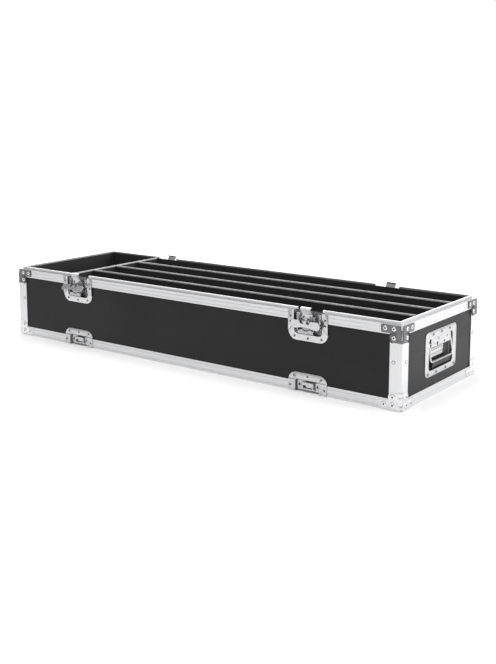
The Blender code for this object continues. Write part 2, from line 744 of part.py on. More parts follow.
# ---------------------------------------------------------------- handles
def handle_dish():
    flange = oblong(-HANDLE_HALF, HANDLE_HALF, HANDLE_LOW, HANDLE_HIGH, HANDLE_RADIUS, HANDLE_RADIUS)
    body = prism(flange, GAP, SKIN)
    half, low, high, radius = HANDLE_DISH_HALF, HANDLE_DISH_LOW, HANDLE_DISH_HIGH, HANDLE_DISH_RADIUS
    sheet = DISH_SHEET
    pan = oblong(-half - sheet, half + sheet, low - sheet, high + sheet, radius + sheet, radius + sheet)
    join(body, prism(pan, GAP * 2, DISH_BACK))
    cut(body, prism(oblong(-half, half, low, high, radius, radius), -FAR, DISH_BACK - sheet))
    cover = box((-COVER_HALF, GAP * 1.5, COVER_LOW), (COVER_HALF, SKIN - GAP, high + sheet))
    knuckles = []
    for left in (-KNUCKLE_OUT, KNUCKLE_IN):
        right = left + KNUCKLE_OUT - KNUCKLE_IN
        low, high = HINGE_Z - KNUCKLE_HALF, HINGE_Z + KNUCKLE_HALF
        knuckles.append(box((left, GAP * 2, low), (right, DISH_BACK - sheet / 2, high)))
    heads = rivets(HANDLE_TOP_RIVETS + HANDLE_LOW_RIVETS, -GAP, RIVET_SMALL_R)
    join(body, cover, *knuckles, *heads)
    bore = BAIL_R + GAP
    reach = KNUCKLE_OUT + GAP
    return cut(body, rod((-reach, HINGE_Y, HINGE_Z), (reach, HINGE_Y, HINGE_Z), bore))


def bail():
    """A closed wire loop: its upper bar is the hinge pin and its lower bar carries the grip."""
    path = oblong(-BAIL_HALF, BAIL_HALF, -BAIL_DROP, 0.0, BAIL_CORNER, BAIL_CORNER)
    out, up = math.sin(BAIL_TILT), math.cos(BAIL_TILT)
    return tube([(across, drop * out, drop * up) for across, drop in path], BAIL_R, True)


def grip():
    """Rubber hung on the lower bar, which lies open in the grip's upper edge."""
    outline = rounded([(GRIP_FOOT_FRONT, GRIP_FOOT), (GRIP_FOOT_FRONT + GRIP_DEEP, GRIP_FOOT),
                       (GRIP_TOP_FRONT + GRIP_DEEP, GRIP_TOP), (GRIP_TOP_FRONT, GRIP_TOP)],
                      [GRIP_DEEP / 3, GRIP_DEEP / 3, GRIP_DEEP / 4, 0])
    body = prism(outline, -GRIP_HALF, GRIP_HALF, "X")
    reach = GRIP_HALF + GAP
    out, up = -BAIL_DROP * math.sin(BAIL_TILT), -BAIL_DROP * math.cos(BAIL_TILT)
    return cut(body, rod((-reach, out, up), (reach, out, up), GRIP_BORE))


def spring():
    """A coil round the hinge bar, with its ends left on the coil."""
    per_turn = 8
    spots = []
    for step in range(COIL_TURNS * per_turn + 1):
        angle = 2 * math.pi * step / per_turn
        along = -COIL_HALF + 2 * COIL_HALF * step / (COIL_TURNS * per_turn)
        spots.append((along, COIL_R * math.cos(angle), COIL_R * math.sin(angle)))
    return tube(spots, COIL_WIRE, False)


def build_handles():
    shapes = {"dish": handle_dish(), "bail": bail(), "grip": grip(), "spring": spring()}
    for side in ("left", "right"):
        hinge = on_wall(side, 0.0) @ Matrix.Translation((0, HINGE_Y, HINGE_Z))
        part(side + "_handle_dish", shapes["dish"], ZINC, on_wall(side, 0.0))
        part(side + "_handle_bail", shapes["bail"], ZINC, hinge)
        part(side + "_handle_grip", shapes["grip"], RUBBER, hinge)
        part(side + "_handle_spring", shapes["spring"], ZINC, hinge)
    for source in shapes.values():
        release(source)


# ---------------------------------------------------------------- dividers
def channel_lines():
    """The middle lines of the long dividers, evenly spaced between the walls."""
    inside = DEPTH - 2 * WALL
    return [-inside / 2 + inside * count / CHANNELS for count in range(1, CHANNELS)]


def build_dividers():
    board_top = TRIM_TOP - TRIM_HEIGHT - GAP
    floor = FLOOR_TOP + GAP
    across = DEPTH / 2 - RIM_INNER - GAP
    start = CROSS_X + DIVIDER / 2 + GAP
    end = LENGTH / 2 - RIM_INNER - GAP
    cross = box((CROSS_X - DIVIDER / 2, -across, floor), (CROSS_X + DIVIDER / 2, across, board_top))
    part("cross_divider", cross, BOARD, Matrix.Identity(4))
    release(cross)
    trim_low = TRIM_TOP - TRIM_HEIGHT
    trim = box((CROSS_X - TRIM_WIDTH / 2, -across, trim_low), (CROSS_X + TRIM_WIDTH / 2, across, TRIM_TOP))
    bars = []
    for count, line in enumerate(channel_lines(), 1):
        board = box((start, line - DIVIDER / 2, floor), (end, line + DIVIDER / 2, board_top))
        part("long_divider_" + str(count), board, BOARD, Matrix.Identity(4))
        release(board)
        bars.append(box((CROSS_X, line - TRIM_WIDTH / 2, trim_low), (end, line + TRIM_WIDTH / 2, TRIM_TOP)))
    join(trim, *bars)
    part("divider_edge_trim", trim, TRIM, Matrix.Identity(4))
    release(trim)


build_panels()
build_lengths()
build_corners()
build_latches()
build_handles()
build_dividers()
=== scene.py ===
"""The looks of a flight case's base section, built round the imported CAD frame.

The panels, the aluminium lengths and the dividers are the CAD nodes with
rounded edges and their finishes. The pressed steel hardware is built here in
finer form and stands for its CAD nodes. Most hardware is drawn in the frame of
the wall that holds it: x runs along the wall, -y points out of it, z is the
height and y = 0 is the outer face of the aluminium. Units are metres.
"""
import json
import math

import bmesh
import bpy
from mathutils import Matrix, Vector

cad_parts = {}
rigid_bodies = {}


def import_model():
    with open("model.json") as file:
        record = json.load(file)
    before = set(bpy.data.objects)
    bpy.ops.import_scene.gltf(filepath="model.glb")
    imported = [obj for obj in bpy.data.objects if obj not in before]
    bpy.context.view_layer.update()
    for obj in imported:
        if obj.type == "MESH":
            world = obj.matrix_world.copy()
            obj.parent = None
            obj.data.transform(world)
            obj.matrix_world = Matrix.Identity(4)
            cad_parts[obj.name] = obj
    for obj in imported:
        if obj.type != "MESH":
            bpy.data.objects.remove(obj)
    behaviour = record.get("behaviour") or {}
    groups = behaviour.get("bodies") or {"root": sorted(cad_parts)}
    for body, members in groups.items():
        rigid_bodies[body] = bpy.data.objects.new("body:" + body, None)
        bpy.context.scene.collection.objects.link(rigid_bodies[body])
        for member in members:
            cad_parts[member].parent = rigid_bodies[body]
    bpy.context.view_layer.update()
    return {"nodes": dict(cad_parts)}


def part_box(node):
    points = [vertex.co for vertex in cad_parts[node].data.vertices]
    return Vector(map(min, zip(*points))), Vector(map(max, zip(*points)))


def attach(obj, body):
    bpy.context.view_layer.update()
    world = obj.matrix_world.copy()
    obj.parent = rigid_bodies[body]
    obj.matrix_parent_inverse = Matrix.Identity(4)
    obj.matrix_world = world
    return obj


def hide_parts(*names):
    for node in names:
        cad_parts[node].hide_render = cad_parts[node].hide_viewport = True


for item in list(bpy.data.objects):
    bpy.data.objects.remove(item, do_unlink=True)

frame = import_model()

# The case, read from the frame
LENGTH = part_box("front_rim")[1].x * 2
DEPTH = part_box("right_rim")[1].y * 2
HARDWARE_X = sum(corner.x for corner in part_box("front_right_latch_dish")) / 2
SIDES = {
    "front": (0.0, DEPTH / 2),
    "right": (math.pi / 2, LENGTH / 2),
    "rear": (math.pi, DEPTH / 2),
    "left": (-math.pi / 2, LENGTH / 2),
}

CORNERS = {
    "front_right": (0.0, 1, -1),
    "rear_right": (math.pi / 2, 1, 1),
    "rear_left": (math.pi, -1, 1),
    "front_left": (-math.pi / 2, -1, -1),
}

# Pressed sheet: flanges stand at FLANGE_FRONT over the aluminium and at BASE_FRONT on the panels
SHEET = 0.0012
FLANGE_FRONT = -0.0015
BASE_FRONT = 0.0003
PAN_FLOOR = 0.0096
DRAFT = 0.0012
ARC_STEPS = 7
WELD_GAP, SLICE_GAP = 1e-6, 1e-7

# Latches
LATCH_HALF, LATCH_LOW, LATCH_HIGH, LATCH_RADIUS = 0.0533, 0.1210, 0.1895, 0.022
PAN_HALF, PAN_LOW, PAN_RADIUS = 0.0380, 0.1360, 0.010
CRANK_Z, CRANK_HALF, CREASE_FRONT = 0.1575, 0.0011, 0.0002
AXIS_Z = 0.1610
TRAY_HALF, TRAY_LOW, TRAY_HIGH, TRAY_LIP = 0.022, 0.139, 0.178, 0.1470
TRAY_FRONT, TRAY_SHEET, ROTOR_CLEAR = 0.0105, 0.0014, 0.0145
HOOK_FRONT, HOOK_SHEET, HOOK_LEAN, HOOK_LIP = 0.0030, 0.0020, 0.0085, 0.0040
HOOK_LOW, HOOK_BEND, HOOK_TOP, HOOK_HALF = -0.0120, 0.0225, 0.0403, 0.0136
HOOK_STEP, HOOK_ROLL = 0.0035, 0.0006
WING_Y, WING_HINGE, WING_HALF, WING_DROP = 0.0137, 0.0095, 0.040, 0.019
WING_SHEET, WING_DISH, WAIST_HALF = 0.0016, 0.0010, 0.012
WING_TILT = math.radians(45.0)
LUG_IN, LUG_OUT = 0.0040, 0.0065
CREASE_ENDS = ((PAN_HALF + 0.0035, CRANK_Z - 0.0045), (LATCH_HALF - 0.0015, CRANK_Z - 0.0145))
CREASE_R = 0.0006
TRAY_RADIUS, TRAY_BED, TRAY_EAR = 0.002, -0.0005, 0.004
BOSS_SPOTS = ((-0.0300, 0.1425), (0.0300, 0.1540))
SPRING_X, SPRING_Y, SPRING_Z = 0.0292, 0.0042, 0.1622
SPRING_R, SPRING_WIRE, SPRING_LONG, SPRING_TURNS = 0.0044, 0.00075, 0.0230, 8
HOOK_HOLE_R, HOOK_HOLE_X, HOOK_HOLE_Z = 0.0032, 0.0088, 0.0168
SLOT_HALF, SLOT_TOP = 0.0043, 0.0123
CUT_REACH = 0.05
LATCH_RIVETS_HIGH = tuple((across, up) for across in (-0.0468, 0.0468) for up in (0.1760, 0.1630))
LATCH_RIVETS_LOW = ((-0.0365, 0.1300), (0.0, 0.1278), (0.0365, 0.1300))

# Keepers
KEEPER_HALF, KEEPER_FOOT, KEEPER_HIGH = 0.0530, 0.0003, 0.0455
KEEPER_PAN_HALF, KEEPER_PAN_HIGH, KEEPER_PAN_RADIUS = 0.0330, 0.0290, 0.006
KEEPER_CRANK = 0.0275
STRIKE_HALF, STRIKE_LOW, STRIKE_HIGH, STRIKE_RADIUS = 0.0312, 0.0045, 0.0265, 0.002
STRIKE_HOLE_R, STRIKE_HOLE_X, STRIKE_HOLE_Z = 0.0026, 0.0245, 0.0165
KEEPER_RIVETS_HIGH = ((-0.0465, 0.0135), (0.0465, 0.0135))
KEEPER_RIVETS_LOW = ((-0.0370, 0.0365), (0.0, 0.0380), (0.0370, 0.0365))

# Handles
HANDLE_HALF, HANDLE_LOW, HANDLE_HIGH, HANDLE_RADIUS = 0.079, 0.0475, 0.1515, 0.014
HANDLE_PAN_HALF, HANDLE_PAN_LOW, HANDLE_PAN_HIGH, HANDLE_PAN_RADIUS = 0.061, 0.061, 0.134, 0.008
HINGE_Y, HINGE_Z = 0.0055, 0.122
BAIL_R, BAIL_HALF, BAIL_DROP, BAIL_CORNER = 0.0025, 0.056, 0.042, 0.008
BAIL_TILT = math.radians(10.0)
GRIP_HALF, GRIP_RIBS = 0.0465, 4
COVER_HOLES = ((0.0050, -0.0410, 0.1230), (0.0044, -0.0200, 0.1190), (0.0028, -0.0140, 0.1295),
               (0.0030, 0.0160, 0.1180), (0.0024, 0.0300, 0.1280))
HANDLE_RIVETS = ((-0.042, 0.1435), (0.0, 0.1435), (0.042, 0.1435), (-0.067, 0.0545), (-0.024, 0.0535),
                 (0.024, 0.0535), (0.067, 0.0545))
HANDLE_RIVET_R = 0.0047
BAR_ROWS = ((0.1092, 0.1122), (0.1046, 0.1078), (0.0955, 0.1034), (0.0875, 0.0943))
BAR_LEFT, BAR_RIGHT, BAR_SLANT, BAR_FRONT = -0.0530, 0.0180, 0.25, 0.0064
KNUCKLES, KNUCKLE_WIDE, KNUCKLE_HALF = (-0.046, 0.036), 0.010, 0.0062
RETURN_R, RETURN_WIRE, RETURN_LONG, RETURN_TURNS = 0.0034, 0.0005, 0.028, 12

# Corner plates
LOBE_X, OUTER_RIVET = 0.020, 0.041
BRACE_REACH, BRACE_TOP, BRACE_LEG_Z = 0.051, 0.1885, 0.1705
BRACE_LOBE_Z, BRACE_LOBE_R, BRACE_RIVET_Z = 0.1605, 0.010, 0.1805
CAP_REACH, CAP_LEG_Z, CAP_LOBE_Z, CAP_LOBE_R, CAP_RIVET_Z = 0.0525, 0.0215, 0.0300, 0.0105, 0.0115
PRESS_GRID, PRESS_SHEET, PRESS_LOW, PRESS_HIGH = 0.0009, 0.0007, 0.0010, 0.0018
PRESS_GROOVE = 0.0016
FOLD_RADIUS = 0.0015
LEG_STEP_LOW, LEG_STEP_HIGH = 0.1728, 0.1746
RING_IN, RING_OUT, HEAD_IN, HEAD_OUT = 0.0100, 0.0125, 0.0058, 0.0072
BAND_IN, BAND_OUT, RIDGE_IN, RIDGE_OUT, CAP_LIFT = 0.0060, 0.0078, 0.006, 0.009, 0.9
CAP_FOOT, CAP_CUT = 0.0006, 0.005
BRACE_HOLES = ((0.0035, 0.1790, 0.2), (0.0013, 0.1590, 0.1760), (0.0032, 0.1575, 0.1592))
CAP_HOLES = ((0.004, 0.0108, 0.0132), (0.004, 0.0298, 0.0322))

# Inside
RIM_DEEP = 0.0133
LINING_LOW, LINING_HIGH, LINING_SHEET = 0.0109, 0.1915, 0.0006
EDGING_HALF, EDGING_HIGH = 0.0014, 0.0038

# Rivets
RIVET_R, RIVET_RISE = 0.0050, 0.0010
SMALL_RIVET_R, SMALL_RIVET_RISE = 0.0032, 0.0012
ANGLE_RIVET_Z, ANGLE_RIVET_R, ANGLE_RIVET_RISE = 0.107, 0.0050, 0.0015
HEAD_PIT, ANGLE_HEAD_PIT, SMALL_HEAD_PIT = 0.44, 0.5, 0.56

# Rounded edges
NODE_EDGE, BOARD_EDGE = 0.0004, 0.0005
SHEET_FOLD, SHEET_EDGE = 0.0013, 0.00035
CRADLE_EDGE, HOOK_EDGE, CAM_EDGE, WING_EDGE, STRIKE_EDGE = 0.0003, 0.0005, 0.0002, 0.0004, 0.0004
COVER_EDGE, PAD_EDGE, GRIP_EDGE, LINING_EDGE = 0.0003, 0.0004, 0.0008, 0.0002

# Camera and stage
CAMERA_SPOT = (1.5600, -2.0149, 0.6570)
CAMERA_TURN = 36.643
CAMERA_DROP = 8.527
CAMERA_LENS = 53.11
CAMERA_SHIFT = -0.1235
FLOOR_HALF = 2.3
FLOOR_GLOW, SKY_STRENGTH = 0.12, 0.38
# Each lamp's place, the point it faces, its size and its power in watts
LAMPS = {
    "overhead": ((-0.2, -0.3, 3.2), (0.0, 0.0, 0.0), (3.6, 2.6), 92.0),
    "end_box": ((3.4, 1.3, 1.2), (0.4, 0.1, 0.1), (2.6, 2.0), 72.0),
    "back_box": ((-2.4, 3.4, 1.1), (0.0, 0.0, 0.15), (5.0, 1.8), 80.0),
}


# ---------------------------------------------------------------- finishes
class Finish:
    """A Principled material and the few nodes that give it detail."""

    def __init__(self, name, colour, roughness, metallic=0.0):
        self.material = bpy.data.materials.new(name)
        self.material.use_nodes = True
        self.tree = self.material.node_tree
        self.shader = self.tree.nodes["Principled BSDF"]
        self.shader.inputs["Metallic"].default_value = metallic
        self.colour = colour
        self.roughness = roughness
        place = self.tree.nodes.new("ShaderNodeTexCoord")
        self.place = place.outputs["Object"]

    def noise(self, scale, detail=3.0, stretch=(1.0, 1.0, 1.0)):
        mapping = self.tree.nodes.new("ShaderNodeMapping")
        mapping.inputs["Scale"].default_value = stretch
        texture = self.tree.nodes.new("ShaderNodeTexNoise")
        texture.inputs["Scale"].default_value = scale
        texture.inputs["Detail"].default_value = detail
        self.tree.links.new(self.place, mapping.inputs["Vector"])
        self.tree.links.new(mapping.outputs["Vector"], texture.inputs["Vector"])
        return texture.outputs["Fac"]

    def spread(self, source, low, high):
        """Source's middle half, taken to the range from low to high."""
        node = self.tree.nodes.new("ShaderNodeMapRange")
        node.inputs["From Min"].default_value = 0.3
        node.inputs["From Max"].default_value = 0.7
        node.inputs["To Min"].default_value = low
        node.inputs["To Max"].default_value = high
        self.tree.links.new(source, node.inputs["Value"])
        return node.outputs["Result"]

    def tint(self, source, low, high):
        """The colour, times a factor that runs from low to high with source."""
        mix = self.tree.nodes.new("ShaderNodeMix")
        mix.data_type = "RGBA"
        mix.inputs["A"].default_value = (*(channel * low for channel in self.colour), 1.0)
        mix.inputs["B"].default_value = (*(channel * high for channel in self.colour), 1.0)
        self.tree.links.new(self.spread(source, 0.0, 1.0), mix.inputs["Factor"])
        self.tree.links.new(mix.outputs["Result"], self.shader.inputs["Base Color"])

    def polish(self, source, change):
        """The roughness, give or take change with source."""
        value = self.spread(source, self.roughness - change, self.roughness + change)
        self.tree.links.new(value, self.shader.inputs["Roughness"])

    def relief(self, source, depth, strength=1.0):
        bump = self.tree.nodes.new("ShaderNodeBump")
        bump.inputs["Distance"].default_value = depth
        bump.inputs["Strength"].default_value = strength
        self.tree.links.new(source, bump.inputs["Height"])
        self.tree.links.new(bump.outputs["Normal"], self.shader.inputs["Normal"])


def laminate(name, colour, roughness):
    """A pebbled laminate with a faint cloud in its sheen."""
    made = Finish(name, colour, roughness)
    pebble = made.noise(900.0, 2.0)
    made.tint(pebble, 0.75, 1.3)
    made.polish(made.noise(9.0, 3.0), 0.06)
    made.relief(pebble, 0.00012, 0.6)
    made.shader.inputs["Specular IOR Level"].default_value = 0.28
    return made.material


def drawn_metal(name, colour, roughness, stretch):
    """Metal with fine lines along its length, where stretch is small."""
    made = Finish(name, colour, roughness, 1.0)
    lines = made.noise(60.0, 4.0, stretch)
    made.tint(lines, 0.93, 1.04)
    made.polish(lines, 0.05)
    made.relief(lines, 0.00004, 0.5)
    return made.material


def plated_metal(name, colour, roughness):
    """Plated pressed steel, faintly mottled and scuffed."""
    made = Finish(name, colour, roughness, 1.0)
    made.tint(made.noise(140.0, 4.0), 0.86, 1.05)
    made.polish(made.noise(420.0, 3.0), 0.07)
    made.relief(made.noise(260.0, 2.0), 0.00006, 0.5)
    return made.material


def moulded(name, colour, roughness):
    """Matt rubber or plastic with a fine sandy skin."""
    made = Finish(name, colour, roughness)
    sand = made.noise(1500.0, 2.0)
    made.tint(made.noise(70.0, 3.0), 0.8, 1.25)
    made.polish(sand, 0.05)
    made.relief(sand, 0.00008, 0.6)
    return made.material


ALONG = {"X": (0.02, 30.0, 30.0), "Y": (30.0, 0.02, 30.0), "Z": (30.0, 30.0, 0.02)}
LAMINATE = laminate("laminate", (0.009, 0.009, 0.0095), 0.44)
BOARD = laminate("board", (0.034, 0.034, 0.0345), 0.60)
ALUMINIUM = {axis: drawn_metal("aluminium_" + axis, (0.76, 0.76, 0.77), 0.40, stretch)
             for axis, stretch in ALONG.items()}
ZINC = plated_metal("zinc", (0.64, 0.64, 0.65), 0.30)
# A darker copy of the plating: painted shade on the cradle, bosses and cam inside the latch dish; also used
# for the small rivets and the angle rivets
STEEL_AND_SHADE = plated_metal("steel", (0.46, 0.46, 0.47), 0.28)
# A darker copy of the plating: painted shade on the floors and deep walls of the dishes
SHADE = plated_metal("shade", (0.30, 0.30, 0.305), 0.34)
BRACE = plated_metal("brace", (0.20, 0.20, 0.205), 0.38)
CAP = plated_metal("cap", (0.80, 0.80, 0.81), 0.34)
RUBBER = moulded("rubber", (0.022, 0.022, 0.022), 0.48)
TRIM = moulded("trim", (0.60, 0.60, 0.60), 0.42)
# A near-black matt finish used as painted shade in rivet and boss centres, in creases and in the strike's
# slot and holes
PIT_SHADE = moulded("pit", (0.03, 0.03, 0.03), 0.70)
RIVET = plated_metal("rivet", (0.88, 0.88, 0.89), 0.24)


# ---------------------------------------------------------------- CAD nodes that show
def dress(node, finish, edge, segments=2):
    """A CAD node with its finish and rounded edges."""
    body = frame["nodes"][node]
    body.data.materials.clear()
    body.data.materials.append(finish)
    weld = body.modifiers.new("weld", "WELD")
    weld.merge_threshold = WELD_GAP
    bevel = body.modifiers.new("edge", "BEVEL")
    bevel.width = edge
    bevel.segments = segments
    bevel.limit_method = "ANGLE"
    bevel.angle_limit = math.radians(40)
    bevel.use_clamp_overlap = True


def dress_frame():
    for side in SIDES:
        axis = "X" if side in ("front", "rear") else "Y"
        dress(side + "_panel", LAMINATE, NODE_EDGE)
        dress(side + "_rim", ALUMINIUM[axis], NODE_EDGE)
        dress(side + "_base_angle", ALUMINIUM[axis], NODE_EDGE)
    dress("floor_panel", BOARD, NODE_EDGE)
    for corner in CORNERS:
        dress(corner + "_corner_angle", ALUMINIUM["Z"], NODE_EDGE)
    for board in ("cross_divider", "long_divider_1", "long_divider_2", "long_divider_3"):
        dress(board, BOARD, BOARD_EDGE)


dress_frame()


# ---------------------------------------------------------------- mesh tools
def on_wall(side, along=0.0, height=0.0):
    angle, half = SIDES[side]
    return Matrix.Rotation(angle, 4, "Z") @ Matrix.Translation((along, -half, height))


def arc(across, up, radius, start, end, steps=ARC_STEPS):
    """Points round a centre, its angles in degrees."""
    turns = [math.radians(start + (end - start) * step / steps) for step in range(steps + 1)]
    return [(across + radius * math.cos(turn), up + radius * math.sin(turn)) for turn in turns]


def frame_ring(half, low, high, radius, y):
    """A rounded rectangle as a closed ring of points, all at one y."""
    corners = ((-1, high - radius, 90), (-1, low + radius, 180),
               (1, low + radius, 270), (1, high - radius, 0))
    spots = []
    for sign, up, start in corners:
        spots += arc(sign * (half - radius), up, radius, start, start + 90)
    return [Vector((across, y, up)) for across, up in spots]


def open_ring(half, shut, open_end, radius, y):
    """A frame with no side at open_end: two legs and the rounded bar between them."""
    sign = 1 if open_end > shut else -1
    spots = [(-half, open_end)]
    spots += arc(radius - half, shut + sign * radius, radius, 180, 180 + sign * 90)
    spots += arc(half - radius, shut + sign * radius, radius, -sign * 90, 0)
    spots.append((half, open_end))
    return [Vector((across, y, up)) for across, up in spots]


def loft(rings, closed=True, solid=False):
    """Faces from ring to ring and one over the last, with their fronts towards -y.

    A solid has one over the first ring too, and its faces look outwards."""
    work = bmesh.new()
    loops = [[work.verts.new(spot) for spot in ring] for ring in rings]
    for outer, inner in zip(loops, loops[1:]):
        for index in range(len(outer) if closed else len(outer) - 1):
            after = (index + 1) % len(outer)
            work.faces.new((outer[index], outer[after], inner[after], inner[index]))
    work.faces.new(loops[-1])
    if solid:
        work.faces.new(loops[0])
    bmesh.ops.recalc_face_normals(work, faces=work.faces)
    if not solid and sum(face.normal.y * face.calc_area() for face in work.faces) > 0:
        bmesh.ops.reverse_faces(work, faces=work.faces)
    return work


def slice_at(work, spot, normal):
    geometry = work.verts[:] + work.edges[:] + work.faces[:]
    bmesh.ops.bisect_plane(work, geom=geometry, dist=SLICE_GAP, plane_co=spot, plane_no=normal)


def smooth_step(value, start, end):
    share = min(1.0, max(0.0, (value - start) / (end - start)))
    return share * share * (3 - 2 * share)


def crank(work, side, height, slope, front):
    """Steps a flange from BASE_FRONT out to front, over height if side is 1 and under it if -1.

    slope lowers the step's line beyond the dish, and 0 keeps it level."""
    for shift in (-CRANK_HALF, 0.0, CRANK_HALF):
        if slope:
            for sign in (-1, 1):
                slice_at(work, (sign * PAN_HALF, 0, height + shift), (sign * slope, 0, 1))
        else:
            slice_at(work, (0, 0, height + shift), (0, 0, 1))
    for vertex in work.verts:
        if abs(vertex.co.y - front) < WELD_GAP:
            line = height - slope * max(0.0, abs(vertex.co.x) - PAN_HALF)
            share = smooth_step(side * (vertex.co.z - line), -CRANK_HALF, CRANK_HALF)
            vertex.co.y = BASE_FRONT + (front - BASE_FRONT) * share


def turned(profile, sides=24):
    """A profile of (radius, height) points turned about -y."""
    work = bmesh.new()
    rings = []
    for radius, height in profile:
        if radius == 0:
            rings.append([work.verts.new((0, 0, height))])
            continue
        turns = [2 * math.pi * step / sides for step in range(sides)]
        rings.append([work.verts.new((radius * math.cos(turn), radius * math.sin(turn), height))
                      for turn in turns])
    for lower, upper in zip(rings, rings[1:]):
        for index in range(sides):
            after = (index + 1) % sides
            if len(lower) == 1:
                work.faces.new((lower[0], upper[after], upper[index]))
            elif len(upper) == 1:
                work.faces.new((lower[index], lower[after], upper[0]))
            else:
                work.faces.new((lower[index], lower[after], upper[after], upper[index]))
    bmesh.ops.rotate(work, verts=work.verts, matrix=Matrix.Rotation(math.radians(90), 3, "X"))
    bmesh.ops.remove_doubles(work, verts=work.verts, dist=WELD_GAP)
    bmesh.ops.recalc_face_normals(work, faces=work.faces)
    return work


def plate_of(outline, start, end, axis="Y"):
    """A flat outline given thickness along Y, or along X where its points are (y, z)."""
    if axis == "Y":
        rings = [[(across, level, up) for across, up in outline] for level in (start, end)]
    else:
        rings = [[(level, out, up) for out, up in outline] for level in (start, end)]
    return loft(rings, solid=True)


def block(low, high):
    work = bmesh.new()
    bmesh.ops.create_cube(work, size=1.0)
    size = Vector(high) - Vector(low)
    bmesh.ops.transform(work, verts=work.verts, matrix=Matrix.Translation((Vector(high) + Vector(low)) / 2)
                        @ Matrix.Diagonal((*size, 1.0)))
    return work


def wire(points, radius, closed=False, sides=10):
    """A round wire along points."""
    work = bmesh.new()
    count = len(points)
    rings, normal = [], None
    for index, spot in enumerate(points):
        before = points[index - 1] if closed or index else spot
        after = points[(index + 1) % count] if closed or index < count - 1 else spot
        run = (Vector(after) - Vector(before)).normalized()
        if normal is None:
            normal = run.orthogonal()
        normal = (normal - run * normal.dot(run)).normalized()
        across = run.cross(normal)
        turns = [2 * math.pi * step / sides for step in range(sides)]
        ways = [normal * math.cos(turn) + across * math.sin(turn) for turn in turns]
        rings.append([work.verts.new(Vector(spot) + radius * way) for way in ways])
    for index in range(count if closed else count - 1):
        lower, upper = rings[index], rings[(index + 1) % count]
        for step in range(sides):
            after = (step + 1) % sides
            work.faces.new((lower[step], lower[after], upper[after], upper[step]))
    if not closed:
        work.faces.new(rings[0])
        work.faces.new(rings[-1])
    bmesh.ops.recalc_face_normals(work, faces=work.faces)
    return work


def mirrored(half):
    """A whole outline from its half with x from 0 up."""
    return half + [(-across, up) for across, up in reversed(half) if across > 0]


def shifted(work, spot):
    bmesh.ops.translate(work, verts=work.verts, vec=spot)
    return work


def merged(*works):
    """Several loose bodies in one mesh."""
    whole = bmesh.new()
    for work in works:
        mesh = bpy.data.meshes.new("part")
        work.to_mesh(mesh)
        work.free()
        whole.from_mesh(mesh)
        bpy.data.meshes.remove(mesh)
    return whole


def to_mesh(name, work, *finishes, angle=38):
    mesh = bpy.data.meshes.new(name)
    work.to_mesh(mesh)
    work.free()
    for finish in finishes:
        mesh.materials.append(finish)
    mesh.shade_smooth()
    mesh.set_sharp_from_angle(angle=math.radians(angle))
    return mesh


def add_bevel(made, width, segments=2, angle=35):
    bevel = made.modifiers.new("edge", "BEVEL")
    bevel.width = width
    bevel.segments = segments
    bevel.limit_method = "ANGLE"
    bevel.angle_limit = math.radians(angle)


def add_piece(name, mesh, place, body, replaces=()):
    made = bpy.data.objects.new(name, mesh)
    bpy.context.scene.collection.objects.link(made)
    made.matrix_world = place
    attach(made, body)
    if replaces:
        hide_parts(*replaces)
    return made


def pressed(made):
    """Rounds the folds of an open sheet, gives it its thickness and softens its edges."""
    add_bevel(made, SHEET_FOLD, 3)
    sheet = made.modifiers.new("sheet", "SOLIDIFY")
    sheet.thickness = SHEET
    sheet.offset = -1.0
    sheet.use_even_offset = True
    add_bevel(made, SHEET_EDGE, 2, 60)
    return made


def rivet_heads(spots, radius, rise, pit=HEAD_PIT, sides=22):
    """Heads on a plate, as (across, front, up): a domed ring round a sunk pin, painted dark as shade in the
    hole.
    """
    works = []
    for across, front, up in spots:
        profile = [(0.0, -0.0004), (radius * 0.97, -0.0004), (radius, 0.0), (radius * 0.93, rise * 0.5),
                   (radius * 0.80, rise * 0.9), (radius * (pit + 0.16), rise), (radius * pit, rise * 0.85),
                   (radius * pit * 0.9, rise * 0.35), (radius * 0.22, rise * 0.30), (0.0, rise * 0.42)]
        head = turned(profile, sides)
        for face in head.faces:
            middle = face.calc_center_median()
            if math.hypot(middle.x, middle.z) < radius * pit and middle.y < 0:
                face.material_index = 1
        works.append(shifted(head, (across, front, up)))
    return merged(*works)


def coil(radius, wire_radius, length, turns, per_turn=16):
    """A coil spring about z that starts at the origin."""
    steps = turns * per_turn
    points = [Vector((radius * math.cos(2 * math.pi * step / per_turn),
                      radius * math.sin(2 * math.pi * step / per_turn), length * step / steps))
              for step in range(steps + 1)]
    return wire(points, wire_radius, False, 8)


def carved(work, *cutters):
    """A closed body with others cut out of it."""
    holder = bpy.data.objects.new("body", bpy.data.meshes.new("body"))
    bpy.context.scene.collection.objects.link(holder)
    work.to_mesh(holder.data)
    work.free()
    tools = []
    for cutter in cutters:
        tool = bpy.data.objects.new("tool", bpy.data.meshes.new("tool"))
        bpy.context.scene.collection.objects.link(tool)
        cutter.to_mesh(tool.data)
        cutter.free()
        step = holder.modifiers.new("cut", "BOOLEAN")
        step.operation, step.solver, step.object = "DIFFERENCE", "EXACT", tool
        tools.append(tool)
    graph = bpy.context.evaluated_depsgraph_get()
    result = bmesh.new()
    result.from_mesh(holder.evaluated_get(graph).to_mesh())
    for item in (holder, *tools):
        bpy.data.objects.remove(item, do_unlink=True)
    return result


def sunk(work):
    """Marks a dish's floor and the deep part of its walls for the darker finish, painted shade in the
    recess.
    """
    for face in work.faces:
        if face.calc_center_median().y > PAN_FLOOR / 3:
            face.material_index = 1
    return work


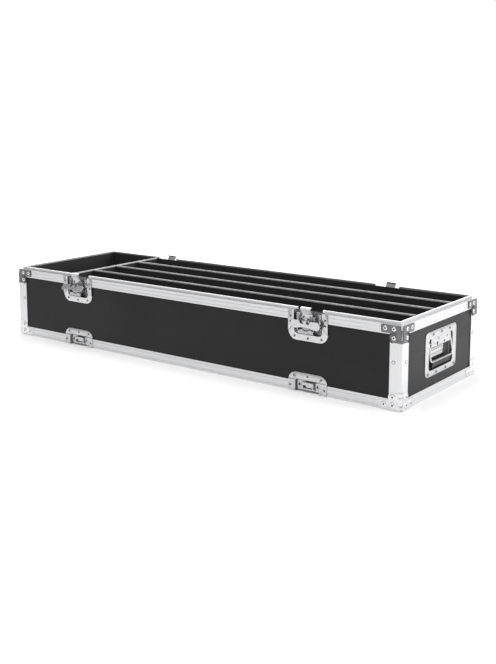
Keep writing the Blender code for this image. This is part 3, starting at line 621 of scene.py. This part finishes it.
# ---------------------------------------------------------------- latches
def latch_sheet():
    """Flange and dish in one pressing, open at the top, stepped over the rim by a slanted crank."""
    rings = [open_ring(LATCH_HALF, LATCH_LOW, LATCH_HIGH, LATCH_RADIUS, FLANGE_FRONT),
             open_ring(PAN_HALF, PAN_LOW, LATCH_HIGH, PAN_RADIUS, FLANGE_FRONT),
             open_ring(PAN_HALF - DRAFT, PAN_LOW + DRAFT, LATCH_HIGH, PAN_RADIUS - DRAFT, PAN_FLOOR)]
    work = sunk(loft(rings, closed=False))
    crank(work, 1, CRANK_Z, 1.0, FLANGE_FRONT)
    return to_mesh("latch_sheet", work, ZINC, SHADE)


def latch_crease_shadows():
    """Dark wires as painted shadow in the foot of each crank."""
    lines = []
    for sign in (-1, 1):
        spots = [Vector((sign * across, CREASE_FRONT, up)) for across, up in CREASE_ENDS]
        lines.append(wire(spots, CREASE_R))
    return to_mesh("latch_crease_shadows", merged(*lines), PIT_SHADE)


def latch_cradle():
    """A folded tray with two high walls and a front lip."""
    floor = loft([frame_ring(TRAY_HALF, TRAY_LOW, TRAY_HIGH, TRAY_RADIUS, front)
                  for front in (PAN_FLOOR, TRAY_BED)], solid=True)
    walls = []
    for sign in (-1, 1):
        outline = [(TRAY_LOW, 0.0), (TRAY_HIGH, 0.0), (TRAY_HIGH, -TRAY_FRONT * 0.45),
                   *[(TRAY_HIGH - 2 * TRAY_EAR - up, -TRAY_FRONT + TRAY_EAR - out)
                     for out, up in reversed(arc(0, 0, TRAY_EAR, 0, 90, 5))],
                   (TRAY_LOW, -TRAY_FRONT)]
        work = plate_of([(y, z) for z, y in outline], sign * TRAY_HALF, sign * (TRAY_HALF - TRAY_SHEET), "X")
        walls.append(work)
    lip = [(-TRAY_HALF, TRAY_LOW), (TRAY_HALF, TRAY_LOW), (TRAY_HALF, TRAY_LIP),
           *arc(0, AXIS_Z, ROTOR_CLEAR, -45, -135, 10), (-TRAY_HALF, TRAY_LIP)]
    front = plate_of(lip, -TRAY_FRONT, -TRAY_FRONT + TRAY_SHEET)
    bottom = block((-TRAY_HALF, -TRAY_FRONT, TRAY_LOW), (TRAY_HALF, 0.0, TRAY_LOW + TRAY_SHEET))
    return to_mesh("latch_cradle", merged(floor, *walls, front, bottom), STEEL_AND_SHADE)


def ring_boss():
    """A turned post with a ring round a sunk centre, which is painted dark as shade."""
    work = turned([(0.0, 0.0), (0.0058, 0.0), (0.0058, 0.0066), (0.0050, 0.0076), (0.0038, 0.0078),
                   (0.0030, 0.0068), (0.0028, 0.0030), (0.0, 0.0030)], 28)
    pit_radius, pit_front = 0.0029, -0.001
    for face in work.faces:
        middle = face.calc_center_median()
        if math.hypot(middle.x, middle.z) < pit_radius and middle.y < pit_front:
            face.material_index = 1
    return work


def latch_bosses():
    works = [shifted(ring_boss(), (across, PAN_FLOOR, up)) for across, up in BOSS_SPOTS]
    return to_mesh("latch_bosses", merged(*works), STEEL_AND_SHADE, PIT_SHADE)


def latch_springs():
    works = [shifted(coil(SPRING_R, SPRING_WIRE, SPRING_LONG, SPRING_TURNS),
                     (sign * SPRING_X, SPRING_Y, SPRING_Z)) for sign in (-1, 1)]
    return to_mesh("latch_springs", merged(*works), RIVET)


def latch_hook():
    """The sliding plate, bent out towards its lipped top, with two holes above the slot."""
    back, front = -HOOK_FRONT + HOOK_SHEET, -HOOK_FRONT
    top = -HOOK_FRONT - HOOK_LEAN
    low_lip = HOOK_TOP - HOOK_SHEET
    outline = [(back, HOOK_LOW), (front, HOOK_LOW), (front, HOOK_BEND), (top, low_lip - HOOK_STEP),
               (top - HOOK_ROLL, low_lip - HOOK_STEP), (top - HOOK_ROLL, HOOK_TOP), (-HOOK_LIP, HOOK_TOP),
               (-HOOK_LIP, low_lip), (top + HOOK_SHEET, low_lip), (back, HOOK_BEND)]
    work = plate_of(outline, -HOOK_HALF, HOOK_HALF, "X")
    holes = [drill(HOOK_HOLE_R, sign * HOOK_HOLE_X, HOOK_HOLE_Z) for sign in (-1, 1)]
    slot = plate_of([(-SLOT_HALF, -SLOT_HALF), (SLOT_HALF, -SLOT_HALF), (SLOT_HALF, SLOT_TOP),
                     (-SLOT_HALF, SLOT_TOP)], -CUT_REACH, CUT_REACH)
    return to_mesh("latch_hook", carved(work, slot, *holes), ZINC)


def drill(radius, across, up, sides=20):
    """A cutter through a wall plate."""
    work = turned([(0.0, -CUT_REACH), (radius, -CUT_REACH), (radius, CUT_REACH), (0.0, CUT_REACH)], sides)
    return shifted(work, (across, 0.0, up))


def latch_rotor():
    """The cam: a dished disc with a riveted middle, its post, and two lugs for the wing."""
    disc = turned([(0.0, 0.0008), (0.0040, 0.0008), (0.0040, 0.0033), (0.0122, 0.0033), (0.0130, 0.0041),
                   (0.0130, 0.0090), (0.0121, 0.0100), (0.0098, 0.0100), (0.0088, 0.0086), (0.0056, 0.0086),
                   (0.0052, 0.0098), (0.0034, 0.0106), (0.0, 0.0107)], 40)
    lugs = []
    root, foot_half, eye_radius = -0.0086, 0.0030, 0.0023
    for left in (-LUG_OUT, LUG_IN):
        outline = [(root, WING_HINGE - foot_half), (root, WING_HINGE + foot_half),
                   *arc(-WING_Y, WING_HINGE, eye_radius, 90, 270, 8)]
        lugs.append(plate_of(outline, left, left + LUG_OUT - LUG_IN, "X"))
    cam = plate_of([(-0.0080, -0.0075), (0.0015, -0.0088), (0.0080, -0.0040), (0.0040, -0.0052)],
                   -0.0100, -0.0080)
    hole_radius, hole_x, hole_z = 0.0013, 0.0072, 0.0028
    cuts = [drill(hole_radius, sign * hole_x, hole_z) for sign in (-1, 1)]
    return to_mesh("latch_rotor", merged(carved(disc, *cuts), *lugs, cam), STEEL_AND_SHADE)


def latch_wing():
    """Two dished ears either side of a waist, with the pin through it."""
    top, notch, tip = 0.0008, -0.0066, WING_HALF - 0.006
    half = [(0.0, top), (LUG_IN - 0.0003, top), (LUG_IN - 0.0003, notch), (WAIST_HALF - 0.0015, notch),
            (WAIST_HALF + 0.0010, -0.0040), (WAIST_HALF + 0.0025, 0.0), (0.020, top * 0.7), (tip, top),
            *arc(WING_HALF - 0.0085, -0.0092, 0.0085, 42, -42, 8), (tip, -WING_DROP),
            (0.022, -WING_DROP * 0.93), (WAIST_HALF, -WING_DROP * 0.80), (0.0, -WING_DROP * 0.74)]
    work = plate_of(mirrored(half), -WING_SHEET / 2, WING_SHEET / 2)
    slice_gap, slices = 0.003, 8
    for step in range(1, slices + 1):
        for sign in (-1, 1):
            slice_at(work, (sign * (WAIST_HALF + step * slice_gap), 0, 0), (1, 0, 0))
    for vertex in work.verts:
        share = smooth_step(abs(vertex.co.x), WAIST_HALF, WING_HALF)
        vertex.co.y += WING_DISH * share
    reach, pin_radius = LUG_OUT + 0.0003, 0.0010
    pin = wire([Vector((-reach, 0, 0)), Vector((reach, 0, 0))], pin_radius, False, 14)
    return to_mesh("latch_wing", merged(work, pin), ZINC)


# ---------------------------------------------------------------- keepers
def keeper_sheet():
    rings = [open_ring(KEEPER_HALF, KEEPER_HIGH, KEEPER_FOOT, LATCH_RADIUS, FLANGE_FRONT),
             open_ring(KEEPER_PAN_HALF, KEEPER_PAN_HIGH, KEEPER_FOOT, KEEPER_PAN_RADIUS, FLANGE_FRONT),
             open_ring(KEEPER_PAN_HALF - DRAFT, KEEPER_PAN_HIGH - DRAFT, KEEPER_FOOT,
                       KEEPER_PAN_RADIUS - DRAFT, PAN_FLOOR)]
    work = sunk(loft(rings, closed=False))
    crank(work, -1, KEEPER_CRANK, 0.0, FLANGE_FRONT)
    return to_mesh("keeper_sheet", work, ZINC, SHADE)


def keeper_strike():
    """The catch plate: two ringed holes and a raised bridge with a slot through it; the slot, the holes and
    the bridge's edges get painted shade.
    """
    base_front, ring_foot = 0.0045, 0.0047
    base = loft([frame_ring(STRIKE_HALF, STRIKE_LOW, STRIKE_HIGH, STRIKE_RADIUS, front)
                 for front in (PAN_FLOOR, base_front)], solid=True)
    bridge = loft([frame_ring(0.0175, 0.0070, 0.0252, STRIKE_RADIUS, 0.0060),
                   frame_ring(0.0150, 0.0085, 0.0236, STRIKE_RADIUS, 0.0002)], solid=True)
    slot = block((-0.0125, -0.02, 0.0100), (0.0120, 0.0030, 0.0124))
    key = block((-0.0125, -0.02, 0.0120), (-0.0040, 0.0030, 0.0168))
    holes = [drill(STRIKE_HOLE_R, sign * STRIKE_HOLE_X, STRIKE_HOLE_Z) for sign in (-1, 1)]
    profile = [(0.0038, 0.0), (0.0060, 0.0), (0.0056, 0.0010), (0.0042, 0.0010), (0.0038, 0.0)]
    rings = [shifted(turned(profile, 28), (sign * STRIKE_HOLE_X, ring_foot, STRIKE_HOLE_Z))
             for sign in (-1, 1)]
    # Painted shade: dark beds in the slot and its key and behind both holes, and painted shadows beside and
    # above the bridge
    dark = merged(block((-0.0124, 0.0018, 0.0101), (0.0119, 0.0034, 0.0123)),
                  block((-0.0124, 0.0018, 0.0119), (-0.0041, 0.0034, 0.0167)),
                  block((-0.0270, 0.0052, 0.0140), (-0.0220, 0.0070, 0.0190)),
                  block((0.0220, 0.0052, 0.0140), (0.0270, 0.0070, 0.0190)),
                  block((0.0172, 0.0040, 0.0060), (0.0192, 0.0050, 0.0262)),
                  block((-0.0070, 0.0030, 0.0254), (0.0250, 0.0050, 0.0264)))
    for face in dark.faces:
        face.material_index = 1
    plates = [carved(base, *holes), carved(bridge, slot, key)]
    return to_mesh("keeper_strike", merged(*plates, *rings, dark), ZINC, PIT_SHADE)


# ---------------------------------------------------------------- handles
def handle_sheet():
    rings = [frame_ring(HANDLE_HALF, HANDLE_LOW, HANDLE_HIGH, HANDLE_RADIUS, BASE_FRONT),
             frame_ring(HANDLE_PAN_HALF, HANDLE_PAN_LOW, HANDLE_PAN_HIGH, HANDLE_PAN_RADIUS, BASE_FRONT),
             frame_ring(HANDLE_PAN_HALF - DRAFT, HANDLE_PAN_LOW + DRAFT, HANDLE_PAN_HIGH - DRAFT,
                        HANDLE_PAN_RADIUS - DRAFT, PAN_FLOOR)]
    return to_mesh("handle_sheet", sunk(loft(rings)), ZINC, SHADE)


def handle_plate():
    """The cover over the hinge, the plate of raised bars under it, and the knuckles."""
    cover = loft([frame_ring(0.0500, 0.1125, 0.1352, 0.003, 0.0013),
                  frame_ring(0.0490, 0.1135, 0.1342, 0.003, 0.0003)], solid=True)
    bars = []
    lowest = BAR_ROWS[-1][0]
    for low, high in BAR_ROWS:
        right = BAR_RIGHT + (low - lowest) * BAR_SLANT
        outline = [(BAR_LEFT, low), (right, low), (right + (high - low) * BAR_SLANT, high), (BAR_LEFT, high)]
        bars.append(plate_of(outline, PAN_FLOOR - DRAFT, BAR_FRONT))
    knuckles = [block((left, 0.0006, HINGE_Z - KNUCKLE_HALF),
                      (left + KNUCKLE_WIDE, PAN_FLOOR, HINGE_Z + KNUCKLE_HALF)) for left in KNUCKLES]
    holes = [drill(radius, across, up) for radius, across, up in COVER_HOLES]
    return to_mesh("handle_plate", merged(carved(cover, *holes), *bars, *knuckles), ZINC)


def handle_shade_pads():
    """Dark rubber on the dish floor, painted shade for the shadowed dish: a tapered stop, the bed of the
    bars, the rest behind the grip and discs behind the cover's holes.
    """
    taper = [(0.0300, 0.1125), (0.0430, 0.1125), (0.0450, 0.0880), (0.0200, 0.0880)]
    stop = plate_of(taper, PAN_FLOOR, 0.0072)
    bed = block((-0.0540, PAN_FLOOR - 0.0014, 0.0865), (0.0290, PAN_FLOOR, 0.1130))
    rest = block((-0.0550, PAN_FLOOR - 0.0010, 0.0640), (0.0550, PAN_FLOOR, 0.0862))
    margin, thick, back = 0.0006, 0.0010, 0.0018
    backs = []
    for radius, across, up in COVER_HOLES:
        disc = turned([(0.0, 0.0), (radius + margin, 0.0), (radius + margin, thick), (0.0, thick)], 20)
        backs.append(shifted(disc, (across, back, up)))
    return to_mesh("handle_shade_pads", merged(stop, bed, rest, *backs), RUBBER)


def handle_bail():
    """The wire loop, its sides leaning out from the hinge bar to the bar in the grip."""
    loop = frame_ring(BAIL_HALF, -BAIL_DROP, 0.0, BAIL_CORNER, 0.0)
    lean = Matrix.Rotation(-BAIL_TILT, 3, "X")
    return to_mesh("handle_bail", wire([lean @ spot for spot in loop], BAIL_R, True, 16), ZINC)


def handle_grip():
    """Rubber hung on the lower bar, with ribs along its face."""
    front = []
    for step in range(GRIP_RIBS * 4 + 1):
        share = step / (GRIP_RIBS * 4)
        swell = 0.00035 * math.cos(share * GRIP_RIBS * 2 * math.pi)
        front.append((-0.0086 + 0.0028 * share + swell, -0.0418 - share * 0.0125))
    seat, toe_z, toe_radius = (-0.0071, -0.0414, 0.0028), -0.0540, 0.0025
    outline = [(-0.0015, -0.0395), *arc(*seat, 40, 0, 4), *arc(*seat, 0, -150, 10), *front,
               *arc(-0.0035, toe_z, toe_radius, -180, -90, 5), *arc(-0.0010, toe_z, toe_radius, -90, 0, 5)]
    return to_mesh("handle_grip", plate_of(outline, -GRIP_HALF, GRIP_HALF, "X"), RUBBER)


def handle_spring():
    turn = Matrix.Rotation(math.radians(90), 3, "Y")
    work = coil(RETURN_R, RETURN_WIRE, RETURN_LONG, RETURN_TURNS)
    bmesh.ops.rotate(work, verts=work.verts, matrix=turn)
    return to_mesh("handle_spring", shifted(work, (-RETURN_LONG / 2, 0, 0)), ZINC)


# ---------------------------------------------------------------- corner plates
def on_end(work):
    """Turns a body made for the front face of a corner to its end face."""
    bmesh.ops.rotate(work, verts=work.verts, matrix=Matrix.Rotation(math.radians(90), 3, "Z"))
    return work


def lobe(centre, radius, start, end):
    return arc(LOBE_X, centre, radius, start, end, 8)


def fold_round(work):
    """Bends a flat plate round the corner edge, from x along the front to y along the end."""
    quarter = FOLD_RADIUS * math.pi / 4
    for step in range(-3, 4):
        slice_at(work, (quarter * step / 3, 0, 0), (1, 0, 0))
    for vertex in work.verts:
        along, out = vertex.co.x, -vertex.co.y
        if abs(along) <= quarter:
            turn = math.radians(-45 + 45 * along / quarter)
            reach = FOLD_RADIUS + out
            vertex.co.x = reach * math.cos(turn) - FOLD_RADIUS
            vertex.co.y = reach * math.sin(turn) + FOLD_RADIUS
        elif along > 0:
            vertex.co.x, vertex.co.y = out, FOLD_RADIUS + along - quarter
        else:
            vertex.co.x, vertex.co.y = along + quarter - FOLD_RADIUS, -out
    return work


def corner_sheet(half, holes, raised):
    """A pressed plate with a relief, as a fine sheet of faces bent round the corner.

    raised says how far, from 0 to 1, the press lifts a point. holes are (half width, low, high)."""
    outline = mirrored(half)
    work = bmesh.new()
    work.faces.new([work.verts.new((across, 0, up)) for across, up in outline])
    low, high = min(up for _, up in outline), max(up for _, up in outline)
    reach = max(across for across, _ in outline)
    for count in range(-int(reach / PRESS_GRID), int(reach / PRESS_GRID) + 1):
        slice_at(work, (count * PRESS_GRID, 0, 0), (1, 0, 0))
    for count in range(1, int((high - low) / PRESS_GRID) + 1):
        slice_at(work, (0, 0, low + count * PRESS_GRID), (0, 0, 1))
    for width, bottom, top in holes:
        for sign in (-1, 1):
            slice_at(work, (sign * width, 0, 0), (1, 0, 0))
        for up in (bottom, top):
            slice_at(work, (0, 0, up), (0, 0, 1))
        inside = [face for face in work.faces if abs(face.calc_center_median().x) < width
                  and bottom < face.calc_center_median().z < top]
        bmesh.ops.delete(work, geom=inside, context="FACES")
    for vertex in work.verts:
        vertex.co.y = -(PRESS_LOW + (PRESS_HIGH - PRESS_LOW) * raised(abs(vertex.co.x), vertex.co.z))
    bmesh.ops.recalc_face_normals(work, faces=work.faces)
    if sum(face.normal.y for face in work.faces) > 0:
        bmesh.ops.reverse_faces(work, faces=work.faces)
    return fold_round(work)


def brace_relief(across, up):
    """Raised, but for the ring round the lower rivet and the strip under the leg."""
    ring = smooth_step(math.hypot(across - LOBE_X, up - BRACE_LOBE_Z), RING_IN, RING_OUT)
    strip = 1.0 if across < LOBE_X else smooth_step(up, LEG_STEP_LOW, LEG_STEP_HIGH)
    middle = 1.0 - smooth_step(math.hypot(across - LOBE_X, up - BRACE_LOBE_Z), HEAD_IN, HEAD_OUT)
    return max(min(ring, strip), middle)


def cap_relief(across, up):
    """A shallow raised band round each rivet and along the fold."""
    near = min(math.hypot(across - x, up - z) for x, z in corner_spots(CAP_RIVET_Z, CAP_LOBE_Z))
    band, ridge = smooth_step(near, BAND_IN, BAND_OUT), smooth_step(across, RIDGE_IN, RIDGE_OUT)
    return max(1.0 - band, 1.0 - ridge) * CAP_LIFT


def corner_spots(row, lobe_row):
    return ((LOBE_X, row), (OUTER_RIVET, row), (LOBE_X, lobe_row))


def brace_sheet():
    half = [(0.0, BRACE_LOBE_Z - BRACE_LOBE_R), *lobe(BRACE_LOBE_Z, BRACE_LOBE_R, -90, 0),
            (LOBE_X + BRACE_LOBE_R, BRACE_LEG_Z - 0.0003), (BRACE_REACH, BRACE_LEG_Z),
            (BRACE_REACH, BRACE_TOP), (0.0, BRACE_TOP)]
    return to_mesh("brace_sheet", corner_sheet(half, BRACE_HOLES, brace_relief), BRACE, angle=60)


def brace_crease_shadows():
    """Dark wires as painted shadow in the step round the lower rivet, on both faces."""
    ring_radius, line_radius = 0.0112, 0.0010
    spots = arc(LOBE_X, BRACE_LOBE_Z, ring_radius, -75, 125, 20)
    front, end = [wire([Vector((sign * across, -PRESS_GROOVE, up)) for across, up in spots], line_radius)
                  for sign in (-1, 1)]
    return to_mesh("brace_crease_shadows", merged(front, on_end(end)), PIT_SHADE)


def cap_sheet():
    half = [(0.0, CAP_FOOT + CAP_CUT), (CAP_CUT, CAP_FOOT), (CAP_REACH - CAP_CUT, CAP_FOOT),
            (CAP_REACH, CAP_FOOT + CAP_CUT), (CAP_REACH, CAP_LEG_Z),
            (LOBE_X + CAP_LOBE_R, CAP_LEG_Z + 0.0003), *lobe(CAP_LOBE_Z, CAP_LOBE_R, 0, 90),
            (0.0, CAP_LOBE_Z + CAP_LOBE_R)]
    return to_mesh("cap_sheet", corner_sheet(half, CAP_HOLES, cap_relief), CAP, angle=60)


def corner_heads(spots, plane, radius, rise, pit=HEAD_PIT):
    """Rivet heads at the same spots on both faces of a corner."""
    front, end = [rivet_heads([(sign * across, plane, up) for across, up in spots], radius, rise, pit)
                  for sign in (-1, 1)]
    return merged(front, on_end(end))


def corner_rivets(row, lobe_row):
    heads = corner_heads(corner_spots(row, lobe_row), -PRESS_HIGH, RIVET_R, RIVET_RISE)
    return to_mesh("corner_rivets", heads, RIVET, PIT_SHADE)


def angle_rivets():
    heads = corner_heads([(LOBE_X, ANGLE_RIVET_Z)], 0.0, ANGLE_RIVET_R, ANGLE_RIVET_RISE, ANGLE_HEAD_PIT)
    return to_mesh("angle_rivets", heads, STEEL_AND_SHADE, PIT_SHADE)


# ---------------------------------------------------------------- inside
def edging(axis, middle, start, end, base):
    """A narrow round-topped strip along the top of a divider."""
    outline = [(middle - EDGING_HALF, base), (middle + EDGING_HALF, base)]
    outline += arc(middle, base + EDGING_HIGH - EDGING_HALF, EDGING_HALF, 0, 180, 8)
    return plate_of(outline, start, end, axis)


def place_inside():
    """Bright edging on the dividers, and a dark lining on the inner walls."""
    cross_low, cross_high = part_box("cross_divider")
    strips = [edging("Y", (cross_low.x + cross_high.x) / 2, cross_low.y, cross_high.y, cross_high.z)]
    for number in (1, 2, 3):
        low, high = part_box("long_divider_%d" % number)
        strips.append(edging("X", (low.y + high.y) / 2, low.x, high.x, high.z))
    mesh = to_mesh("divider_edging", merged(*strips), TRIM)
    add_piece("divider_edging", mesh, Matrix(), "case", ["divider_edge_trim"])
    for side in SIDES:
        reach = (LENGTH if side in ("front", "rear") else DEPTH) / 2 - RIM_DEEP
        strip = block((-reach, RIM_DEEP, LINING_LOW), (reach, RIM_DEEP + LINING_SHEET, LINING_HIGH))
        sheet = to_mesh("lining", strip, BOARD)
        lining = add_piece(side + "_lining", sheet, on_wall(side), "case")
        add_bevel(lining, LINING_EDGE)


# ---------------------------------------------------------------- placing
def small_rivets(name, upper, lower, radius=SMALL_RIVET_R):
    """Rivets in the stepped part of a flange and in its flat part."""
    spots = [(across, FLANGE_FRONT, up) for across, up in upper]
    spots += [(across, BASE_FRONT, up) for across, up in lower]
    return to_mesh(name, rivet_heads(spots, radius, SMALL_RIVET_RISE, SMALL_HEAD_PIT), STEEL_AND_SHADE, PIT_SHADE)


def place_latches():
    rivets = small_rivets("latch_rivets", LATCH_RIVETS_HIGH, LATCH_RIVETS_LOW)
    keeper_rivets = small_rivets("keeper_rivets", KEEPER_RIVETS_HIGH, KEEPER_RIVETS_LOW)
    sheet, tray, bosses, springs = latch_sheet(), latch_cradle(), latch_bosses(), latch_springs()
    crease_shadows = latch_crease_shadows()
    hook, rotor, wing = latch_hook(), latch_rotor(), latch_wing()
    keeper, strike = keeper_sheet(), keeper_strike()
    for side in ("front", "rear"):
        for word, sign in (("left", -1), ("right", 1)):
            name = side + "_" + word
            along = sign * HARDWARE_X * (1 if side == "front" else -1)
            place, axis = on_wall(side, along), on_wall(side, along, AXIS_Z)
            tilt = WING_TILT if along < 0 else 0.0
            hinge = axis @ Matrix.Translation((0, -WING_Y, WING_HINGE)) @ Matrix.Rotation(-tilt, 4, "X")
            pressed(add_piece(name + "_dish", sheet, place, "case", [name + "_latch_dish"]))
            cradle = add_piece(name + "_cradle", tray, place, "case")
            add_bevel(cradle, CRADLE_EDGE)
            add_piece(name + "_bosses", bosses, place, "case")
            add_piece(name + "_springs", springs, place, "case")
            add_piece(name + "_rivets", rivets, place, "case")
            # Painted shadow wires in the foot of each crank
            add_piece(name + "_crease_shadows", crease_shadows, place, "case")
            plate = add_piece(name + "_hook_plate", hook, axis, name + "_hook",
                              [name + "_latch_hook"])
            add_bevel(plate, HOOK_EDGE, 3)
            cam = add_piece(name + "_cam", rotor, axis, name + "_rotor",
                            [name + "_latch_rotor"])
            add_bevel(cam, CAM_EDGE)
            ears = add_piece(name + "_ears", wing, hinge, name + "_wing",
                             [name + "_latch_wing"])
            add_bevel(ears, WING_EDGE, 3)
            pressed(add_piece(name + "_keeper_dish", keeper, place, "case", [name + "_keeper"]))
            catch = add_piece(name + "_strike", strike, place, "case")
            add_bevel(catch, STRIKE_EDGE)
            add_piece(name + "_keeper_rivets", keeper_rivets, place, "case")


def place_handles():
    rivets = small_rivets("handle_rivets", (), HANDLE_RIVETS, HANDLE_RIVET_R)
    sheet, plate, shade_pads, bail, grip, spring = (handle_sheet(), handle_plate(), handle_shade_pads(), handle_bail(),
                                             handle_grip(), handle_spring())
    for side in ("left", "right"):
        place = on_wall(side)
        hinge = place @ Matrix.Translation((0, HINGE_Y, HINGE_Z))
        pressed(add_piece(side + "_dish", sheet, place, "case", [side + "_handle_dish"]))
        cover = add_piece(side + "_hinge_plate", plate, place, "case")
        add_bevel(cover, COVER_EDGE)
        # Dark rubber pads, painted shade on the dish floor
        add_bevel(add_piece(side + "_shade_pads", shade_pads, place, "case"), PAD_EDGE)
        add_piece(side + "_dish_rivets", rivets, place, "case")
        add_piece(side + "_loop", bail, hinge, side + "_bail", [side + "_handle_bail"])
        soft = add_piece(side + "_rubber", grip, hinge, side + "_bail", [side + "_handle_grip"])
        add_bevel(soft, GRIP_EDGE, 3, 50)
        add_piece(side + "_coil", spring, hinge, "case", [side + "_handle_spring"])


def place_corners():
    brace, crease_shadows, cap = brace_sheet(), brace_crease_shadows(), cap_sheet()
    brace_heads, cap_heads, heads = (corner_rivets(BRACE_RIVET_Z, BRACE_LOBE_Z),
                                     corner_rivets(CAP_RIVET_Z, CAP_LOBE_Z), angle_rivets())
    for name, (angle, x_sign, y_sign) in CORNERS.items():
        spot = (x_sign * LENGTH / 2, y_sign * DEPTH / 2, 0.0)
        place = Matrix.Translation(spot) @ Matrix.Rotation(angle, 4, "Z")
        for word, sheet, slot in (("brace", brace, "brace_steel"), ("cap", cap, "zinc_steel")):
            made = add_piece(name + "_" + word, sheet, place, "case", [name + "_corner_" + word])
            thick = made.modifiers.new("sheet", "SOLIDIFY")
            thick.thickness = PRESS_SHEET
            thick.offset = -1.0
        # Painted shadow wires round the brace's lower rivet
        add_piece(name + "_brace_crease_shadows", crease_shadows, place, "case")
        add_piece(name + "_brace_rivets", brace_heads, place, "case")
        add_piece(name + "_cap_rivets", cap_heads, place, "case")
        add_piece(name + "_angle_rivets", heads, place, "case")


place_inside()
place_latches()
place_handles()
place_corners()


# ---------------------------------------------------------------- stage
def make_floor():
    mesh = bpy.data.meshes.new("floor")
    work = bmesh.new()
    bmesh.ops.create_grid(work, x_segments=1, y_segments=1, size=FLOOR_HALF)
    work.to_mesh(mesh)
    work.free()
    floor = bpy.data.objects.new("floor", mesh)
    bpy.context.scene.collection.objects.link(floor)
    made = Finish("floor", (0.94, 0.94, 0.94), 0.9)
    made.tint(made.noise(3.0), 0.995, 1.005)
    made.shader.inputs["Specular IOR Level"].default_value = 0.0
    made.shader.inputs["Emission Color"].default_value = (1.0, 1.0, 1.0, 1.0)
    made.shader.inputs["Emission Strength"].default_value = FLOOR_GLOW
    mesh.materials.append(made.material)


def area_light(name, spot, aim, size, power):
    data = bpy.data.lights.new(name, "AREA")
    data.shape = "RECTANGLE"
    data.size, data.size_y = size
    data.energy = power
    lamp = bpy.data.objects.new(name, data)
    bpy.context.scene.collection.objects.link(lamp)
    lamp.location = spot
    lamp.rotation_mode = "QUATERNION"
    lamp.rotation_quaternion = (Vector(aim) - Vector(spot)).to_track_quat("-Z", "Y")


def make_lights():
    world = bpy.data.worlds.new("studio")
    bpy.context.scene.world = world
    world.use_nodes = True
    tree = world.node_tree
    sky = tree.nodes["Background"]
    sky.inputs["Strength"].default_value = SKY_STRENGTH
    backdrop = tree.nodes.new("ShaderNodeBackground")
    seen = tree.nodes.new("ShaderNodeLightPath")
    choice = tree.nodes.new("ShaderNodeMixShader")
    tree.links.new(seen.outputs["Is Camera Ray"], choice.inputs[0])
    tree.links.new(sky.outputs[0], choice.inputs[1])
    tree.links.new(backdrop.outputs[0], choice.inputs[2])
    tree.links.new(choice.outputs[0], tree.nodes["World Output"].inputs["Surface"])
    for source in (sky, backdrop):
        source.inputs["Color"].default_value = (1.0, 1.0, 1.0, 1.0)
    for name, settings in LAMPS.items():
        area_light(name, *settings)


def make_camera():
    data = bpy.data.cameras.new("camera")
    data.lens = CAMERA_LENS
    data.shift_y = CAMERA_SHIFT
    data.clip_start, data.clip_end = 0.05, 60.0
    camera = bpy.data.objects.new("camera", data)
    bpy.context.scene.collection.objects.link(camera)
    camera.location = CAMERA_SPOT
    camera.rotation_euler = (math.radians(90 - CAMERA_DROP), 0.0, math.radians(CAMERA_TURN))
    bpy.context.scene.camera = camera


make_floor()
make_lights()
make_camera()
bpy.context.scene.view_settings.view_transform = "Standard"
